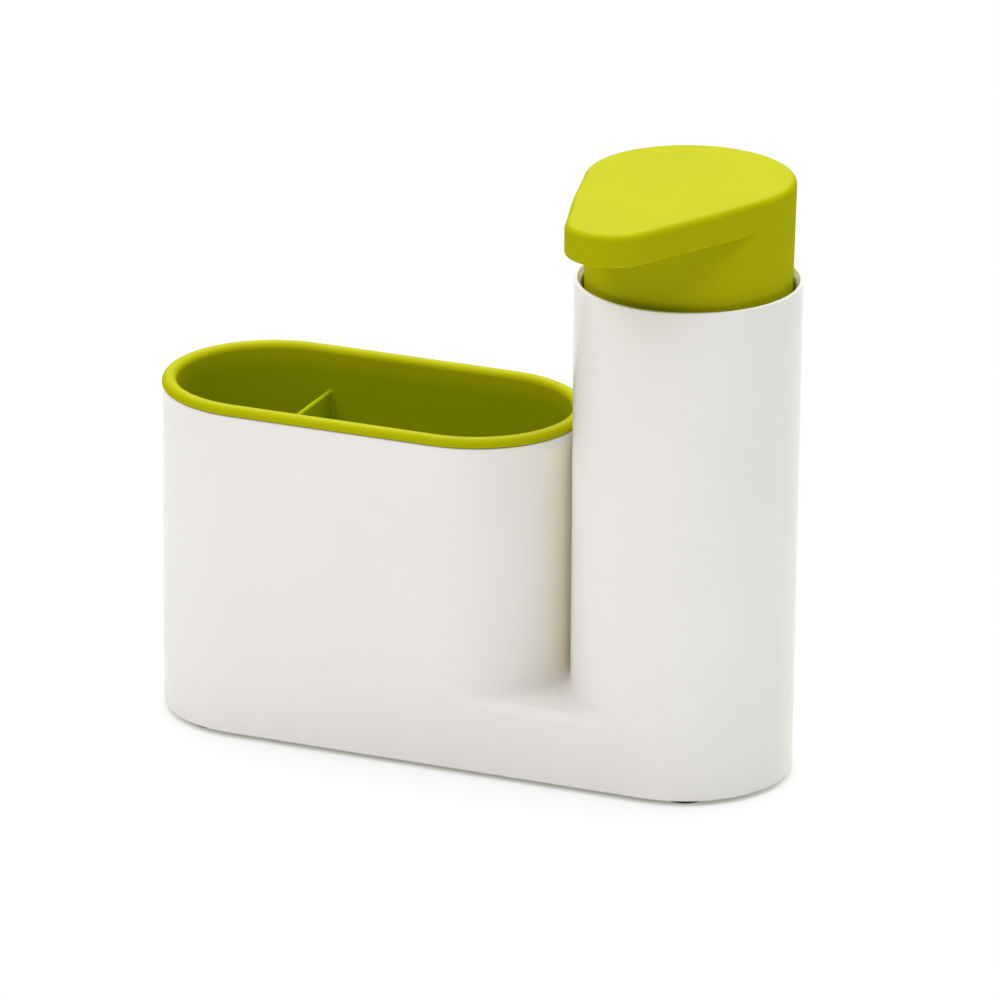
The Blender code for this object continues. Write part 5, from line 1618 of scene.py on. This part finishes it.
def floor_material(stage, base):
    """Pale floor that looks white away from the object and keeps its shadow.

    The eye, a mirror and glass see the lit floor mixed with a glowing white, which is yellowed
    under the body's edge, a painted shade tint on the line of contact. The white's share grows
    with the distance from the body's outline in two smooth steps, a narrow one that leaves the
    line of contact and a wide one that leaves the faint shade. All other light meets the same
    pale surface everywhere.
    """
    radius = bpy.context.scene.sink_caddy_body.radius
    shift, left, _, tower = places()
    made = bpy.data.materials.new("studio_floor")
    made.use_nodes = True
    tree = made.node_tree
    shader = tree.nodes["Principled BSDF"]
    shader.inputs["Roughness"].default_value = FLOOR_ROUGHNESS
    shader.inputs["Specular IOR Level"].default_value = 0.0
    specks = noise(tree, object_place(tree), SPECK_SCALE, GRAIN_DETAIL)
    tint = mixed(tree, specks, opaque(base), opaque(darker(base, SPECK_SHARE)))
    input_of(tree, shader, "Base Color", tint)
    away = combined(tree, "SUBTRACT", from_line(tree, left, tower, shift[1]), radius)
    near = rising(tree, away, *NEAR_STEP)
    far = rising(tree, away, *FAR_STEP)
    white = combined(tree, "MULTIPLY_ADD", near, stage.near_white, stage.least_white)
    rest = 1 - stage.near_white - stage.least_white
    white = combined(tree, "MULTIPLY_ADD", far, rest, white)
    # Painted shade: under the body the glow takes the yellowish contact colour, which tints the
    # contact shadow
    pale = mixed(tree, near, opaque(stage.contact), opaque(WHITE))
    glow = add_node(tree, "ShaderNodeEmission", {"Color": pale, "Strength": 1.0})
    seen = combined(tree, "MULTIPLY", background_rays(tree), white)
    mix = blended_shaders(tree, seen, shader.outputs["BSDF"], glow.outputs["Emission"])
    input_of(tree, tree.nodes["Material Output"], "Surface", mix)
    return made


def studio_floor(stage, base):
    """A flat floor at the feet's level."""
    half = stage.floor_size
    corners = [(-half, -half, 0.0), (half, -half, 0.0), (half, half, 0.0), (-half, half, 0.0)]
    mesh = bpy.data.meshes.new("studio_floor")
    mesh.from_pydata(corners, [], [(0, 1, 2, 3)])
    mesh.materials.append(floor_material(stage, base))
    linked("studio_floor", mesh)


def studio_world(stage):
    """White behind everything to the eye, a softer pale studio for all other light."""
    world = bpy.data.worlds.new("studio")
    bpy.context.scene.world = world
    world.use_nodes = True
    tree = world.node_tree
    tree.nodes.clear()
    soft, white = (
        add_node(tree, "ShaderNodeBackground", {"Color": opaque(tone), "Strength": strength})
        for tone, strength in ((stage.air, stage.sky), (WHITE, 1.0))
    )
    mix = blended_shaders(
        tree, background_rays(tree), soft.outputs["Background"], white.outputs["Background"],
    )
    add_node(tree, "ShaderNodeOutputWorld", {"Surface": mix})


def area_lamp(name, power, tint, size, spot, target):
    """A soft square lamp that faces a target."""
    data = bpy.data.lights.new(name, "AREA")
    data.energy = power
    data.color = tint
    data.shape = "SQUARE"
    data.size = size
    made = linked(name, data)
    made.location = spot
    made.rotation_euler = (Vector(target) - Vector(spot)).to_track_quat("-Z", "Y").to_euler()


def studio_camera(stage):
    """The camera on its long lens, placed by its direction, its tilt and two small offsets."""
    data = bpy.data.cameras.new("photo_view")
    data.sensor_width = SENSOR_WIDTH
    data.lens = stage.lens
    data.clip_end = VIEW_LIMIT
    made = linked("photo_view", data)
    flat = math.cos(stage.elevation)
    back = Vector((math.sin(stage.azimuth) * flat, -math.cos(stage.azimuth) * flat,
                   math.sin(stage.elevation)))
    right = (-back).cross(Vector((0.0, 0.0, 1.0))).normalized()
    up = right.cross(-back)
    across = math.cos(stage.roll) * right + math.sin(stage.roll) * up
    over = -math.sin(stage.roll) * right + math.cos(stage.roll) * up
    shift = places()[0]
    target = Vector((0.0, shift[1], shift[2] + stage.middle))
    spot = target + back * stage.distance + across * stage.sideways - over * stage.upward
    turn = Matrix((across, over, back)).transposed()
    made.matrix_world = Matrix.Translation(spot) @ turn.to_4x4()
    bpy.context.scene.camera = made


class SINKCADDY_OT_stage(bpy.types.Operator):
    """Set up the floor, the soft light and the camera."""

    bl_idname = "sinkcaddy.stage"
    bl_label = "Studio"

    def execute(self, context):
        stage = context.scene.sink_caddy_stage
        studio_floor(stage, tuple(context.scene.sink_caddy_finish.floor))
        studio_world(stage)
        middle = (0.0, 0.0, stage.middle)
        area_lamp("top_lamp", stage.top_light, WHITE, stage.top_size, stage.top_place, middle)
        area_lamp("front_lamp", stage.front_light, stage.lamp, stage.front_size,
                  stage.front_place, middle)
        studio_camera(stage)
        context.scene.view_settings.view_transform = "Standard"
        return {"FINISHED"}


OPERATORS = (
    SINKCADDY_OT_white_body,
    SINKCADDY_OT_base,
    SINKCADDY_OT_brush_pot,
    SINKCADDY_OT_pump_head,
    SINKCADDY_OT_spout,
    SINKCADDY_OT_soap_bottle,
    SINKCADDY_OT_collar,
    SINKCADDY_OT_pump_body,
    SINKCADDY_OT_plunger,
    SINKCADDY_OT_spring,
    SINKCADDY_OT_valve_balls,
    SINKCADDY_OT_stage,
)

GROUPS = (
    ("sink_caddy_body", SinkCaddyBody),
    ("sink_caddy_pot", SinkCaddyPot),
    ("sink_caddy_head", SinkCaddyHead),
    ("sink_caddy_pump", SinkCaddyPump),
    ("sink_caddy_finish", SinkCaddyFinish),
    ("sink_caddy_stage", SinkCaddyStage),
)


class SINKCADDY_PT_panel(bpy.types.Panel):
    """Everything that builds the sink caddy, and the sizes and colours it is built from."""

    bl_idname = "SINKCADDY_PT_panel"
    bl_label = "Sink Caddy"
    bl_space_type = "VIEW_3D"
    bl_region_type = "UI"
    bl_category = "Sink Caddy"

    def draw(self, context):
        for operator in OPERATORS:
            self.layout.operator(operator.bl_idname)
        for attribute, group in GROUPS:
            box = self.layout.box()
            values = getattr(context.scene, attribute)
            for name in group.__annotations__:
                box.prop(values, name)


def register():
    """Register the groups, operators and panel."""
    for attribute, group in GROUPS:
        bpy.utils.register_class(group)
        setattr(bpy.types.Scene, attribute, bpy.props.PointerProperty(type=group))
    for operator in OPERATORS:
        bpy.utils.register_class(operator)
    bpy.utils.register_class(SINKCADDY_PT_panel)


def unregister():
    """Take them out again."""
    bpy.utils.unregister_class(SINKCADDY_PT_panel)
    for operator in reversed(OPERATORS):
        bpy.utils.unregister_class(operator)
    for attribute, group in reversed(GROUPS):
        delattr(bpy.types.Scene, attribute)
        bpy.utils.unregister_class(group)


def main():
    """Build every piece and the studio."""
    register()
    for operator in OPERATORS:
        group, name = operator.bl_idname.split(".")
        getattr(getattr(bpy.ops, group), name)()


if __name__ == "__main__":
    main()
